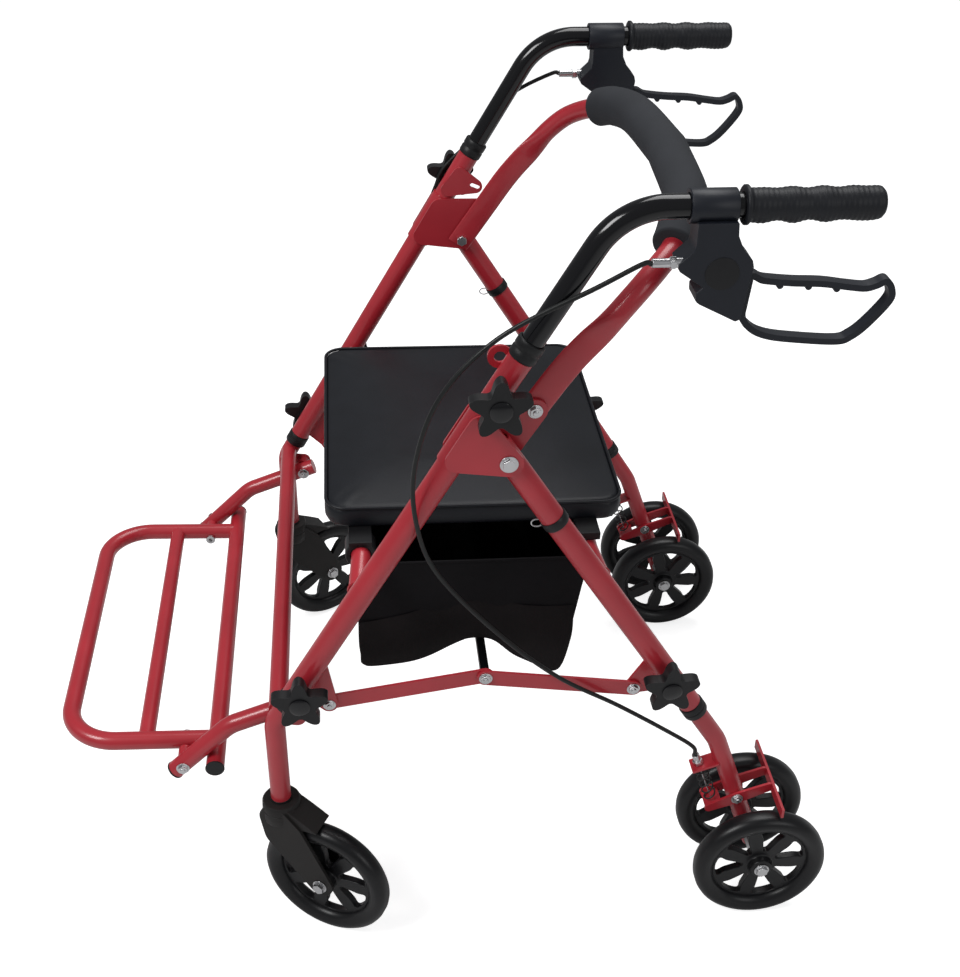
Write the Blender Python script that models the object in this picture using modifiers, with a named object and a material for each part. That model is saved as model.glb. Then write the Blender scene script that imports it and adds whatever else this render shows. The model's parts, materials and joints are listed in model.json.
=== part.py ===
"""Rollator wheelchair: a folding walking frame on six wheels with a seat, a bag and a footrest.

Metres, +Z up, the front towards -Y, the left side at +X. The origin is on the ground, in the
middle of the object's outline. Side views are written as (y, z).
"""

import math

import bmesh
import bpy
from mathutils import Matrix, Vector

# General fits
GAP = 0.0003
SIDES = 12
SMALL_SIDES = 8
LEFT, RIGHT = 1, -1
SIDE_NAMES = {LEFT: "left", RIGHT: "right"}

# Main frame, seen from the side
LEG_X = 0.262
LEG_R = 0.0125
FRONT_TOP = Vector((0.064, 0.707))
FRONT_END = Vector((-0.1605, 0.321))
PIVOT = Vector((0.0545, 0.605))
REAR_CORNER = Vector((0.2965, 0.226))
REAR_HUB = Vector((0.3515, 0.075))
REAR_TUBE_LENGTH = 0.383
REAR_TUBE_ABOVE_PIVOT = 0.018
PIN_R = 0.004
BOLT_R = 0.003

# Bracket between front and rear legs
CHEEK = 0.0026
CHEEK_R = 0.014
ARM_BOLT = Vector((0.081, 0.644))
SLEEVE_FROM, SLEEVE_TO = 0.060, 0.125

# Telescoping inserts
INSERT_R = 0.011
REAR_INSERT_R = 0.0105
FRONT_INSERT_TOP = 0.361
CASTER_AXIS_Y = -0.1815
FRONT_CORNER_Z = 0.286
FORK_TOP_Z = 0.176
LOWER_CROSS = Vector((-0.177, 0.299))
COLLAR_R = 0.0135
COLLAR_LENGTH = 0.016

# Seat
SEAT_TUBE_R = 0.010
FRONT_SEAT_TUBE = Vector((-0.085, 0.453))
FRONT_SEAT_TUBE_END = Vector((-0.0884, 0.445))
REAR_SEAT_TUBE = Vector((0.150, 0.4497))
REAR_SEAT_TUBE_END = Vector((0.1537, 0.4497))
SEAT_TUBE_RUN = 0.205
SEAT_HALF_WIDTH = 0.177
SEAT_FRONT_Y, SEAT_REAR_Y = -0.1210, 0.1905
BOARD_BOTTOM_Z = 0.466
BOARD_THICKNESS = 0.010
CUSHION_TOP_Z = 0.4955
CLAMP_LENGTH = 0.026
CLAMP_X = SEAT_TUBE_RUN - 0.002 - CLAMP_LENGTH / 2
REST_HALF_DEPTH = 0.012
CLAMP_R = 0.016
SEAT_TILT = math.radians(0.85)

# Handles
HANDLE_R = 0.011
HANDLE_CORNER = Vector((0.1465, 0.8475))
HANDLE_BEND_R = 0.070
HANDLE_END_Y = 0.368
HANDLE_INSIDE = 0.250
GRIP_FROM_Y, GRIP_TO_Y = 0.249, 0.3725
LEVER_PIVOT = Vector((0.240, 0.775))
LEVER_WIDTH = 0.012
HOUSING_INNER_X, HOUSING_OUTER_X = 0.252, 0.279
BARREL_X = 0.275
BARREL_Z = 0.801
BARREL_R = 0.005
BARREL_FROM_Y = 0.172

# Star knobs
KNOB_R = 0.030
KNOB_ARMS = 5
KNOB_THICKNESS = 0.013
KNOB_BOSS = 0.0085
STUD_R = 0.003
UPPER_KNOB = Vector((0.0436, 0.672))
FRONT_KNOB = Vector((-0.152, 0.336))
REAR_KNOB = Vector((0.230, 0.330))

# Wheels
WHEEL_R = 0.075
REAR_WHEEL_WIDTH = 0.025
REAR_WHEEL_OFFSET = 0.045
CASTER_WHEEL_WIDTH = 0.024
WINDOWS = 7
HUB_R = 0.0125
HUB_BORE_R = 0.0045
RIM_R = 0.0595
WEB_SHARE = 0.36
WHEEL_STEPS = 20
CASTER_TRAIL = 0.052
CASTER_TURN = math.radians(28.5)
AXLE_R = 0.004
FORK_CHEEK = 0.004
FORK_CHEEK_OFFSET = 0.0157
STEM_R = 0.005
STEM_LENGTH = 0.045

# Spreader
SPREAD_A = Vector((-0.1235, 0.306))
SPREAD_B = Vector((0.1975, 0.306))
SPREAD_C = Vector((0.0395, 0.331))
LINK_HALF_WIDTH = 0.009
LINK_THICKNESS = 0.003
FRONT_LINK_X = 0.2573
REAR_LINK_X = FRONT_LINK_X + LINK_THICKNESS + GAP
CROSS_ROD_R = 0.005

# Brakes
BRAKE_ALONG = 0.0868
BRAKE_OFFSET = 0.0275
BRAKE_PLATE = 0.003
BRAKE_PLATE_OFFSET = 0.0123
BRACKET_ALONG = 0.029
SPRING_R = 0.0068
SPRING_WIRE_R = 0.0009
SPRING_TURNS = 5
SPRING_POINTS = 8
TAB_Y = 0.366
TAB_Z = 0.152
TAB_HEIGHT = 0.012

# Footrest
FOOT_TUBE_R = 0.010
FOOT_RAIL_X = 0.199
FOOT_FRONT = Vector((-0.4165, 0.214))
FOOT_MID_Y = -0.329
FOOT_REAR_BAR = Vector((-0.2511, 0.2072))
FOOT_CORNER_R = 0.055
FOOT_PIVOT = Vector((-0.286, 0.204))
HANGER_X = 0.229
HANGER_FRONT = Vector((-0.296, 0.193))
HANGER_BEND = Vector((-0.232, 0.255))
HANGER_REAR = Vector((-0.144, 0.288))
HANGER_BOLT = Vector((-0.158, 0.2825))

# Backrest
BACK_R = 0.011
FOAM_R = 0.0215
FOAM_END_X = 0.200
BACK_FLAT_X = 0.2438
BACK_FLAT = 0.005
BACK_FLAT_WIDTH = 0.028

# Bag
BAG_HALF_WIDTH = SEAT_TUBE_RUN
BAG_WALL = 0.002

# Brake cables
CABLE_R = 0.0025

PARTS = "rollator_wheelchair"
CUTTERS = "cutters"


def clear_scene():
    """Empty the scene and make the two collections."""
    for item in list(bpy.data.objects):
        bpy.data.objects.remove(item, do_unlink=True)
    for name in (PARTS, CUTTERS):
        folder = bpy.data.collections.new(name)
        bpy.context.scene.collection.children.link(folder)


def link(item, folder=PARTS):
    """Put an object in a collection and return it."""
    bpy.data.collections[folder].objects.link(item)
    return item


def material(name, colour, roughness, metallic=0.0):
    """Make a Principled material, or return the one already made."""
    found = bpy.data.materials.get(name)
    if found:
        return found
    made = bpy.data.materials.new(name)
    made.use_nodes = True
    shader = made.node_tree.nodes["Principled BSDF"]
    shader.inputs["Base Color"].default_value = (*colour, 1.0)
    shader.inputs["Roughness"].default_value = roughness
    shader.inputs["Metallic"].default_value = metallic
    return made


def red_paint():
    return material("red_paint", (0.50, 0.045, 0.055), 0.35)


def black_plastic():
    return material("black_plastic", (0.020, 0.021, 0.024), 0.45)


def zinc():
    return material("zinc", (0.62, 0.63, 0.65), 0.30, 0.9)


def finish(item, look):
    """Give a piece its material and smooth its round faces."""
    item.data.materials.clear()
    item.data.materials.append(look)
    item.data.shade_smooth()
    item.data.set_sharp_from_angle(angle=math.radians(35))
    return item


def meshed(item):
    """Turn a curve object into a welded mesh object in place."""
    graph = bpy.context.evaluated_depsgraph_get()
    mesh = bpy.data.meshes.new_from_object(item.evaluated_get(graph))
    work = bmesh.new()
    work.from_mesh(mesh)
    bmesh.ops.remove_doubles(work, verts=work.verts, dist=0.00002)
    bmesh.ops.recalc_face_normals(work, faces=work.faces)
    work.to_mesh(mesh)
    work.free()
    mesh.transform(item.matrix_world)
    name = item.name
    made = bpy.data.objects.new(name, mesh)
    bpy.data.objects.remove(item, do_unlink=True)
    made.name = name
    return link(made)


def combine(target, other, operation="UNION"):
    """Join another shape to a piece, or cut it away, with a modifier."""
    folder = bpy.data.collections[PARTS]
    if other.name in folder.objects:
        folder.objects.unlink(other)
        link(other, CUTTERS)
    other.hide_render = True
    other.display_type = "WIRE"
    other.parent = target
    step = target.modifiers.new(other.name, "BOOLEAN")
    step.operation = operation
    step.solver = "EXACT"
    step.object = other
    return target


def join(target, *others):
    for other in others:
        combine(target, other)
    return target


def cut(target, *others):
    for other in others:
        combine(target, other, "DIFFERENCE")
    return target


def loose(radius, sides=SIDES):
    """Radius of a hole whose flat sides clear a round bar by the general gap."""
    return (radius + GAP) / math.cos(math.pi / sides)


def at(side, x, point):
    """World place of a side-view point on the left or right side."""
    return Vector((side * x, point[0], point[1]))


def mixed(a, b, share):
    return a + (b - a) * share


def rounded_path(points, radius, steps=4):
    """A route through points with each inner corner turned into an arc."""
    route = [points[0]]
    for before, corner, after in zip(points, points[1:], points[2:]):
        back = (before - corner).normalized()
        ahead = (after - corner).normalized()
        half = back.angle(ahead) / 2
        reach = min(radius / math.tan(half), (before - corner).length * 0.49,
                    (after - corner).length * 0.49)
        centre = corner + (back + ahead).normalized() * (reach / math.cos(half))
        first = corner + back * reach - centre
        last = corner + ahead * reach - centre
        for step in range(steps + 1):
            turn = first.slerp(last, step / steps).normalized()
            route.append(centre + turn * first.length)
    route.append(points[-1])
    return route


def tube(name, points, radius, sides=SIDES):
    """A round bar along a route."""
    curve = bpy.data.curves.new(name, "CURVE")
    curve.dimensions = "3D"
    curve.bevel_depth = radius
    curve.bevel_resolution = (sides - 4) // 2
    curve.use_fill_caps = True
    line = curve.splines.new("POLY")
    line.points.add(len(points) - 1)
    for slot, point in zip(line.points, points):
        slot.co = (*point, 1.0)
    return meshed(link(bpy.data.objects.new(name, curve)))


def outline(name, loops, matrix, thickness):
    """A flat shape with holes, given as closed loops of 2-D points."""
    curve = bpy.data.curves.new(name, "CURVE")
    curve.dimensions = "2D"
    curve.fill_mode = "BOTH"
    curve.extrude = thickness / 2
    for loop in loops:
        line = curve.splines.new("POLY")
        line.points.add(len(loop) - 1)
        line.use_cyclic_u = True
        for slot, point in zip(line.points, loop):
            slot.co = (point[0], point[1], 0.0, 1.0)
    item = link(bpy.data.objects.new(name, curve))
    item.matrix_world = matrix
    bpy.context.view_layer.update()
    return meshed(item)


SIDE_PLANE = Matrix(((0, 0, 1, 0), (1, 0, 0, 0), (0, 1, 0, 0), (0, 0, 0, 1)))


def plate(name, loop, x, thickness, holes=()):
    """A flat plate that stands in a side plane, centred on x."""
    return outline(name, [loop, *holes], Matrix.Translation((x, 0, 0)) @ SIDE_PLANE, thickness)


def ring_points(centre, radius, count=12):
    """Points of a circle in the side view."""
    return [Vector((centre[0] + radius * math.cos(math.tau * i / count),
                    centre[1] + radius * math.sin(math.tau * i / count))) for i in range(count)]


def wrapped(circles, count=14):
    """The outline of a band drawn tight round circles given as (point, radius)."""
    cloud = sorted({(round(p.x, 7), round(p.y, 7)) for centre, radius in circles
                    for p in ring_points(centre, radius, count)})

    def half(points):
        chain = []
        for p in points:
            while len(chain) > 1:
                (ax, ay), (bx, by) = chain[-2], chain[-1]
                if (bx - ax) * (p[1] - ay) - (by - ay) * (p[0] - ax) > 1e-12:
                    break
                chain.pop()
            chain.append(p)
        return chain[:-1]

    return [Vector(p) for p in half(cloud) + half(cloud[::-1])]


def cylinder(name, start, end, radius, sides=SIDES, end_radius=None):
    """A straight round piece between two points, or a cone with a second radius."""
    mesh = bpy.data.meshes.new(name)
    work = bmesh.new()
    run = end - start
    top = radius if end_radius is None else end_radius
    turn = run.to_track_quat("Z", "Y").to_matrix().to_4x4()
    bmesh.ops.create_cone(work, cap_ends=True, segments=sides, radius1=radius, radius2=top,
                          depth=run.length, matrix=Matrix.Translation((start + end) / 2) @ turn)
    work.to_mesh(mesh)
    work.free()
    return link(bpy.data.objects.new(name, mesh))


def across(name, side, point, x_from, x_to, radius, sides=SIDES):
    """A round piece along X at a side-view point."""
    return cylinder(name, at(side, x_from, point), at(side, x_to, point), radius, sides)


def box(name, low, high):
    """A box between two corners."""
    mesh = bpy.data.meshes.new(name)
    work = bmesh.new()
    low, high = Vector(low), Vector(high)
    size = Vector([abs(v) for v in high - low])
    place = Matrix.Translation((low + high) / 2) @ Matrix.Diagonal((*size, 1.0))
    bmesh.ops.create_cube(work, size=1.0, matrix=place)
    work.to_mesh(mesh)
    work.free()
    return link(bpy.data.objects.new(name, mesh))


def turned(name, profile, place, steps=SIDES):
    """A turned ring round local Z, from a closed profile of (radius, height) points."""
    mesh = bpy.data.meshes.new(name)
    work = bmesh.new()
    points = [work.verts.new((radius, 0.0, height)) for radius, height in profile]
    for first, second in zip(points, points[1:] + points[:1]):
        work.edges.new((first, second))
    work.to_mesh(mesh)
    work.free()
    item = link(bpy.data.objects.new(name, mesh))
    item.matrix_world = place
    spin = item.modifiers.new("turn", "SCREW")
    spin.steps = steps
    spin.render_steps = steps
    spin.use_merge_vertices = True
    spin.merge_threshold = 0.00001
    spin.use_normal_calculate = True
    bpy.context.view_layer.update()
    return meshed(item)


def facing(start, end):
    """Placement with local Z running from one point towards another."""
    return Matrix.Translation(start) @ (end - start).to_track_quat("Z", "Y").to_matrix().to_4x4()


def sleeve(name, start, end, outer, inner, steps=SIDES):
    """A straight pipe between two points."""
    length = (end - start).length
    profile = [(outer, length), (outer, 0.0), (inner, 0.0), (inner, length)]
    return turned(name, profile, facing(start, end), steps)


def pivot_empty(name, place):
    """An empty on a joint's axis, which moving pieces hang from."""
    item = bpy.data.objects.new(name, None)
    item.empty_display_size = 0.03
    item.location = place
    link(item)
    bpy.context.view_layer.update()
    return item


def hang(pivot, *pieces):
    """Parent pieces to an empty without moving them."""
    for piece in pieces:
        piece.parent = pivot
        piece.matrix_parent_inverse = pivot.matrix_world.inverted()


FRONT_UP = (FRONT_TOP - FRONT_END).normalized()
REAR_DOWN = (REAR_CORNER - PIVOT).normalized()
INSERT_DOWN = (REAR_HUB - REAR_CORNER).normalized()
INSERT_FORWARD = Vector((INSERT_DOWN.y, -INSERT_DOWN.x))


def on_front(distance):
    """A point on the front leg's axis, measured down from its top."""
    return FRONT_TOP - FRONT_UP * distance


def on_rear(distance):
    """A point on the rear leg's axis, measured down from the pivot."""
    return PIVOT + REAR_DOWN * distance


def on_insert(along, forward=0.0):
    """A point beside the rear insert, measured down from its corner."""
    return REAR_CORNER + INSERT_DOWN * along + INSERT_FORWARD * forward


FRONT_LENGTH = (FRONT_TOP - FRONT_END).length


def front_leg(side):
    """Front leg: a pipe with the folding bracket, the strut tab and a strap ear."""
    name = "front_leg_" + SIDE_NAMES[side]
    leg = cylinder(name, at(side, LEG_X, on_front(0)), at(side, LEG_X, on_front(FRONT_LENGTH)), LEG_R)
    wrap = cylinder(name + "_wrap", at(side, LEG_X, on_front(SLEEVE_FROM)),
                    at(side, LEG_X, on_front(SLEEVE_TO)), LEG_R + GAP + CHEEK * 0.6)
    ends = [(on_front(SLEEVE_FROM + 0.012), 0.012), (on_front(SLEEVE_TO - 0.012), 0.012), (PIVOT, CHEEK_R)]
    offset = LEG_R + GAP + CHEEK / 2
    outer = plate(name + "_outer_cheek", wrapped(ends), side * (LEG_X + offset), CHEEK)
    inner = plate(name + "_inner_cheek", wrapped(ends + [(ARM_BOLT, 0.012)]), side * (LEG_X - offset), CHEEK)
    tab_ends = [(on_front(FRONT_LENGTH - 0.012), 0.009), (on_front(FRONT_LENGTH - 0.045), 0.009),
                (SPREAD_A, LINK_HALF_WIDTH)]
    tab = plate(name + "_tab", wrapped(tab_ends), side * REAR_LINK_X, LINK_THICKNESS)
    join(leg, wrap, outer, inner, tab, strap_ear(side, name))
    bore = cylinder(name + "_bore", at(side, LEG_X, on_front(-0.01)),
                    at(side, LEG_X, on_front(FRONT_LENGTH + 0.01)), loose(HANDLE_R))
    pin = across(name + "_pin_hole", side, PIVOT, LEG_X - 0.03, LEG_X + 0.03,
                 loose(PIN_R, SMALL_SIDES), SMALL_SIDES)
    cut(leg, bore, pin)
    for index, knob in enumerate((UPPER_KNOB, FRONT_KNOB)):
        cut(leg, across(name + f"_knob_hole_{index}", side, knob, LEG_X + 0.005, LEG_X + 0.03,
                        loose(STUD_R, SMALL_SIDES), SMALL_SIDES))
    return finish(leg, red_paint())


def strap_ear(side, name):
    """The ear for a strap, round on the left and a slotted lug on the right."""
    x = side * (LEG_X - LEG_R - 0.0003)
    if side == LEFT:
        centre = Vector((0.0465, 0.703))
        ear = plate(name + "_ear", wrapped([(centre, 0.0115), (on_front(0.012), 0.010)]), x, 0.003,
                    [ring_points(centre, 0.0055, SMALL_SIDES)])
        return ear
    centre = Vector((0.0713, 0.6715))
    lobes = [(Vector((0.052, 0.688)), 0.008), (Vector((0.037, 0.668)), 0.008), (centre, 0.0085)]
    slot = wrapped([(centre + Vector((0.003, -0.001)), 0.0025), (centre - Vector((0.004, -0.002)), 0.0025)], SMALL_SIDES)
    return plate(name + "_ear", wrapped(lobes), x, 0.003, [slot])


def seat_tube(name, run, end, leg_from, leg_to):
    """A seat cross tube whose ends are shaped to the legs."""
    route = [at(LEFT, LEG_X, end), at(LEFT, LEG_X - LEG_R, end), at(LEFT, SEAT_TUBE_RUN, run),
             at(RIGHT, SEAT_TUBE_RUN, run), at(RIGHT, LEG_X - LEG_R, end), at(RIGHT, LEG_X, end)]
    bar = tube(name, rounded_path(route, 0.03, 3), SEAT_TUBE_R)
    for side in (LEFT, RIGHT):
        cut(bar, cylinder(f"{name}_cope_{SIDE_NAMES[side]}", at(side, LEG_X, leg_from),
                          at(side, LEG_X, leg_to), loose(LEG_R)))
    return finish(bar, red_paint())


def front_collars(side):
    """The plastic rings at both ends of a front leg."""
    top = sleeve("top_collar_" + SIDE_NAMES[side], at(side, LEG_X, on_front(-0.020)),
                 at(side, LEG_X, on_front(-GAP)), COLLAR_R, loose(HANDLE_R))
    low = sleeve("front_collar_" + SIDE_NAMES[side], at(side, LEG_X, on_front(FRONT_LENGTH + GAP)),
                 at(side, LEG_X, on_front(FRONT_LENGTH + COLLAR_LENGTH)), COLLAR_R, loose(INSERT_R))
    return [finish(ring, black_plastic()) for ring in (top, low)]


def rear_collar(side):
    """The plastic ring at the lower end of a rear leg."""
    ring = sleeve("rear_collar_" + SIDE_NAMES[side], at(side, LEG_X, on_rear(REAR_TUBE_LENGTH + GAP)),
                  at(side, LEG_X, on_rear(REAR_TUBE_LENGTH + COLLAR_LENGTH)), COLLAR_R,
                  loose(REAR_INSERT_R))
    return finish(ring, black_plastic())


def front_lower_frame():
    """The two front inserts with their cross tube, caster sockets and footrest bosses."""
    name = "front_lower_frame"
    cross = tube(name, [at(LEFT, 0.256, LOWER_CROSS), at(RIGHT, 0.256, LOWER_CROSS)], FOOT_TUBE_R)
    corner = Vector((CASTER_AXIS_Y, FRONT_CORNER_Z))
    foot = Vector((CASTER_AXIS_Y, FORK_TOP_Z + GAP))
    for side in (LEFT, RIGHT):
        tag = name + "_" + SIDE_NAMES[side]
        route = [at(side, LEG_X, p) for p in (on_front(FRONT_INSERT_TOP), corner, foot)]
        insert = tube(tag, rounded_path(route, 0.035), INSERT_R)
        lug = plate(tag + "_lug", wrapped([(corner, 0.008), (HANGER_BOLT, 0.009)]), side * 0.2535, 0.004)
        boss = across(tag + "_boss", side, HANGER_BOLT, HANGER_X + FOOT_TUBE_R + GAP, 0.2545, 0.008)
        join(cross, insert, lug, boss)
        socket = cylinder(tag + "_socket", at(side, LEG_X, foot) - Vector((0, 0, 0.01)),
                          at(side, LEG_X, foot) + Vector((0, 0, STEM_LENGTH + 0.002)), loose(STEM_R, SMALL_SIDES), SMALL_SIDES)
        cut(cross, socket)
    return finish(cross, red_paint())


def rear_leg(side):
    """Rear leg: a pipe with the pivot hole, the strut tab and a band."""
    name = "rear_leg_" + SIDE_NAMES[side]
    top = on_rear(-REAR_TUBE_ABOVE_PIVOT)
    leg = cylinder(name, at(side, LEG_X, top), at(side, LEG_X, on_rear(REAR_TUBE_LENGTH)), LEG_R)
    foot = on_rear((SPREAD_B - PIVOT).dot(REAR_DOWN))
    ends = [(foot - REAR_DOWN * 0.016, 0.009), (foot + REAR_DOWN * 0.016, 0.009),
            (SPREAD_B, LINK_HALF_WIDTH)]
    tab = plate(name + "_tab", wrapped(ends), side * FRONT_LINK_X, LINK_THICKNESS)
    band = cylinder(name + "_band", at(side, LEG_X, on_rear(0.084)), at(side, LEG_X, on_rear(0.094)), 0.0137)
    join(leg, tab, band)
    bore = cylinder(name + "_bore", at(side, LEG_X, on_rear(-0.03)),
                    at(side, LEG_X, on_rear(REAR_TUBE_LENGTH + 0.01)), loose(REAR_INSERT_R))
    pin = across(name + "_pin_hole", side, PIVOT, LEG_X - 0.02, LEG_X + 0.02,
                 loose(PIN_R, SMALL_SIDES), SMALL_SIDES)
    knob = across(name + "_knob_hole", side, REAR_KNOB, LEG_X + 0.005, LEG_X + 0.03,
                  loose(STUD_R, SMALL_SIDES), SMALL_SIDES)
    return finish(cut(leg, bore, pin, knob), red_paint())


def rear_insert(side):
    """Rear insert: the bent lower leg with its cable bracket and ferrule."""
    name = "rear_insert_" + SIDE_NAMES[side]
    end = REAR_HUB + INSERT_DOWN * 0.013
    route = [at(side, LEG_X, p) for p in (on_rear(REAR_TUBE_LENGTH - 0.120), REAR_CORNER, end)]
    insert = tube(name, rounded_path(route, 0.06, 4), REAR_INSERT_R)
    shelf = [on_insert(BRACKET_ALONG, 0.0), on_insert(BRACKET_ALONG, 0.037),
             on_insert(BRACKET_ALONG + 0.003, 0.037), on_insert(BRACKET_ALONG + 0.003, 0.0)]
    bracket = plate(name + "_shelf", shelf, side * LEG_X, 0.020)
    ferrule = cylinder(name + "_ferrule", at(side, LEG_X, on_insert(0.014, BRAKE_OFFSET)),
                       at(side, LEG_X, on_insert(BRACKET_ALONG + 0.001, BRAKE_OFFSET)), 0.0045, SMALL_SIDES)
    join(insert, bracket, ferrule)
    hub = across(name + "_axle_hole", side, REAR_HUB, LEG_X - 0.02, LEG_X + 0.02,
                 loose(AXLE_R, SMALL_SIDES), SMALL_SIDES)
    arm = across(name + "_arm_hole", side, on_insert(BRAKE_ALONG), LEG_X - 0.02, LEG_X + 0.02,
                 loose(BOLT_R, SMALL_SIDES), SMALL_SIDES)
    return finish(cut(insert, hub, arm), red_paint())


def pivot_pin(side):
    """The folding bolt with its head and nut."""
    name = "pivot_pin_" + SIDE_NAMES[side]
    outer = LEG_X + LEG_R + CHEEK + 2 * GAP
    inner = BACK_FLAT_X - BACK_FLAT / 2 - GAP
    pin = across(name, side, PIVOT, inner - 0.002, outer + 0.002, PIN_R, SMALL_SIDES)
    head = across(name + "_head", side, PIVOT, outer, outer + 0.0045, 0.007, SMALL_SIDES)
    nut = across(name + "_nut", side, PIVOT, inner - 0.005, inner, 0.0065, 6)
    return finish(join(pin, head, nut), zinc())


def back_route():
    """The backrest tube's route on the left, from its flat end to the middle."""
    return [at(LEFT, BACK_FLAT_X, PIVOT + Vector((-0.0045, -0.0066))), at(LEFT, BACK_FLAT_X, ARM_BOLT),
            Vector((0.2425, 0.142, 0.714)), Vector((0.240, 0.160, 0.737)), Vector((0.228, 0.182, 0.757)),
            Vector((0.200, 0.208, 0.780)), Vector((0.170, 0.222, 0.794)), Vector((0.120, 0.237, 0.799)),
            Vector((0.0, 0.244, 0.803))]


def mirrored_route(half):
    """Both halves of a route that ends in the middle plane."""
    return half + [Vector((-p.x, p.y, p.z)) for p in reversed(half[:-1])]


def backrest_bar():
    """The backrest tube, with its ends pressed flat against the brackets."""
    half = back_route()
    low = [mixed(half[0], half[2], share) for share in (0.0, 0.25, 0.5, 0.75)]
    bar = tube("backrest_bar", mirrored_route(low + half[2:]), BACK_R)
    press_ends(bar, half[0], half[2])
    for side in (LEFT, RIGHT):
        cut(bar, across(f"backrest_hole_{SIDE_NAMES[side]}", side, PIVOT, 0.23, 0.256,
                        loose(PIN_R, SMALL_SIDES), SMALL_SIDES))
    return finish(bar, red_paint())


def press_ends(bar, start, full):
    """Flatten the bar's two ends across X and spread them in the side view."""
    line = Vector((full.y - start.y, full.z - start.z)).normalized()
    across_line = Vector((-line.y, line.x))
    length = (full - start).length
    for vert in bar.data.vertices:
        place = Vector((vert.co.y - start.y, vert.co.z - start.z))
        along = place.dot(line)
        share = min(1.0, max(0.0, (along / length - 0.55) / 0.45))
        if share >= 1.0 or abs(vert.co.x) < 0.2:
            continue
        side = LEFT if vert.co.x > 0 else RIGHT
        middle = side * mixed(start, full, min(1.0, max(0.0, along / length))).x
        thin = BACK_FLAT / (2 * BACK_R)
        wide = BACK_FLAT_WIDTH / (2 * BACK_R)
        vert.co.x = middle + (vert.co.x - middle) * (thin + (1 - thin) * share)
        off = place.dot(across_line) * (wide + (1 - wide) * share)
        spot = line * along + across_line * off
        vert.co.y = start.y + spot.x
        vert.co.z = start.z + spot.y


def backrest_foam():
    """The foam sleeve on the backrest tube."""
    half = [p for p in back_route() if p.x <= FOAM_END_X + GAP]
    route = mirrored_route(half)
    foam = tube("backrest_foam", route, FOAM_R)
    lead = (route[0] - route[1]).normalized() * 0.01
    tail = (route[-1] - route[-2]).normalized() * 0.01
    bore = tube("backrest_foam_bore", [route[0] + lead, *route, route[-1] + tail], loose(BACK_R))
    return finish(cut(foam, bore), material("foam", (0.045, 0.047, 0.052), 0.9))


def star_outline(radius, arms, count=4):
    """Outline of a knob with round arms."""
    loop = []
    for index in range(arms * count):
        angle = math.tau * index / (arms * count)
        lobe = 0.5 + 0.5 * math.cos(arms * angle)
        reach = radius * (0.70 + 0.30 * lobe ** 0.8)
        loop.append(Vector((reach * math.sin(angle), reach * math.cos(angle))))
    return loop


def knob(name, side, point):
    """A star knob on its boss, with the stud that goes through the leg's wall."""
    face = LEG_X + LEG_R + GAP
    middle = face + KNOB_BOSS + KNOB_THICKNESS / 2
    loop = [point + p for p in star_outline(KNOB_R, KNOB_ARMS)]
    star = plate(name, loop, side * middle, KNOB_THICKNESS)
    boss = across(name + "_boss", side, point, face, middle, 0.009, SMALL_SIDES)
    stud = across(name + "_stud", side, point, LEG_X + HANDLE_R + 2 * GAP, middle, STUD_R, SMALL_SIDES)
    cap = across(name + "_cap", side, point, middle, middle + KNOB_THICKNESS / 2 + 0.003, 0.010, SMALL_SIDES)
    join(star, boss, stud, cap)
    finish(star, black_plastic())
    hang(pivot_empty(name + "_axis", at(side, LEG_X + LEG_R, point)), star)
    return star


def wheel_profile(width):
    """The wheel's closed section: a solid tyre, a dished web and a long hub round the bore."""
    half = width / 2
    upper = [(HUB_BORE_R, half * 1.04), (HUB_R, half * 1.04), (HUB_R + 0.003, half * WEB_SHARE),
             (RIM_R, half * WEB_SHARE), (WHEEL_R - 0.008, half), (WHEEL_R, half * 0.45)]
    return upper + [(radius, -height) for radius, height in reversed(upper)]


def window(index):
    """One bell-shaped window between the spokes, narrow at the hub."""
    turn = math.tau * (index + 0.5) / WINDOWS
    half = math.pi / WINDOWS
    shape = [(0.0225, -0.34), (0.040, -0.44), (0.053, -0.60), (0.053, 0.60), (0.040, 0.44),
             (0.0225, 0.34)]
    return [Vector((r * math.cos(turn + half * a), r * math.sin(turn + half * a))) for r, a in shape]


def wheel(name, centre, axis, width):
    """A wheel: one turned body whose web is cut through by bell-shaped windows."""
    place = facing(centre, centre + axis)
    body = turned(name, wheel_profile(width), place, WHEEL_STEPS)
    holes = outline(name + "_windows", [window(i) for i in range(WINDOWS)], place, width)
    cut(body, holes)
    return finish(body, black_plastic())


def rear_wheels(side):
    """Two wheels on one axle, either side of the rear insert."""
    tag = SIDE_NAMES[side]
    for label, offset in (("outer", REAR_WHEEL_OFFSET), ("inner", -REAR_WHEEL_OFFSET)):
        centre = at(side, LEG_X + offset, REAR_HUB)
        made = wheel(f"rear_wheel_{tag}_{label}", centre, Vector((1, 0, 0)), REAR_WHEEL_WIDTH)
        hang(pivot_empty(f"rear_wheel_{tag}_{label}_axis", centre), made)
    name = "rear_axle_" + tag
    reach = REAR_WHEEL_OFFSET + REAR_WHEEL_WIDTH * 0.52 + GAP
    axle = across(name, side, REAR_HUB, LEG_X - reach - 0.001, LEG_X + reach + 0.001, AXLE_R, SMALL_SIDES)
    for sign in (1, -1):
        near, far = REAR_INSERT_R + GAP, REAR_WHEEL_OFFSET - REAR_WHEEL_WIDTH * 0.52 - GAP
        join(axle, across(f"{name}_spacer_{sign}", side, REAR_HUB, LEG_X + sign * near,
                          LEG_X + sign * far, 0.0075, SMALL_SIDES))
        join(axle, across(f"{name}_head_{sign}", side, REAR_HUB, LEG_X + sign * reach,
                          LEG_X + sign * (reach + 0.004), 0.0075, SMALL_SIDES))
    finish(axle, zinc())


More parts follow.
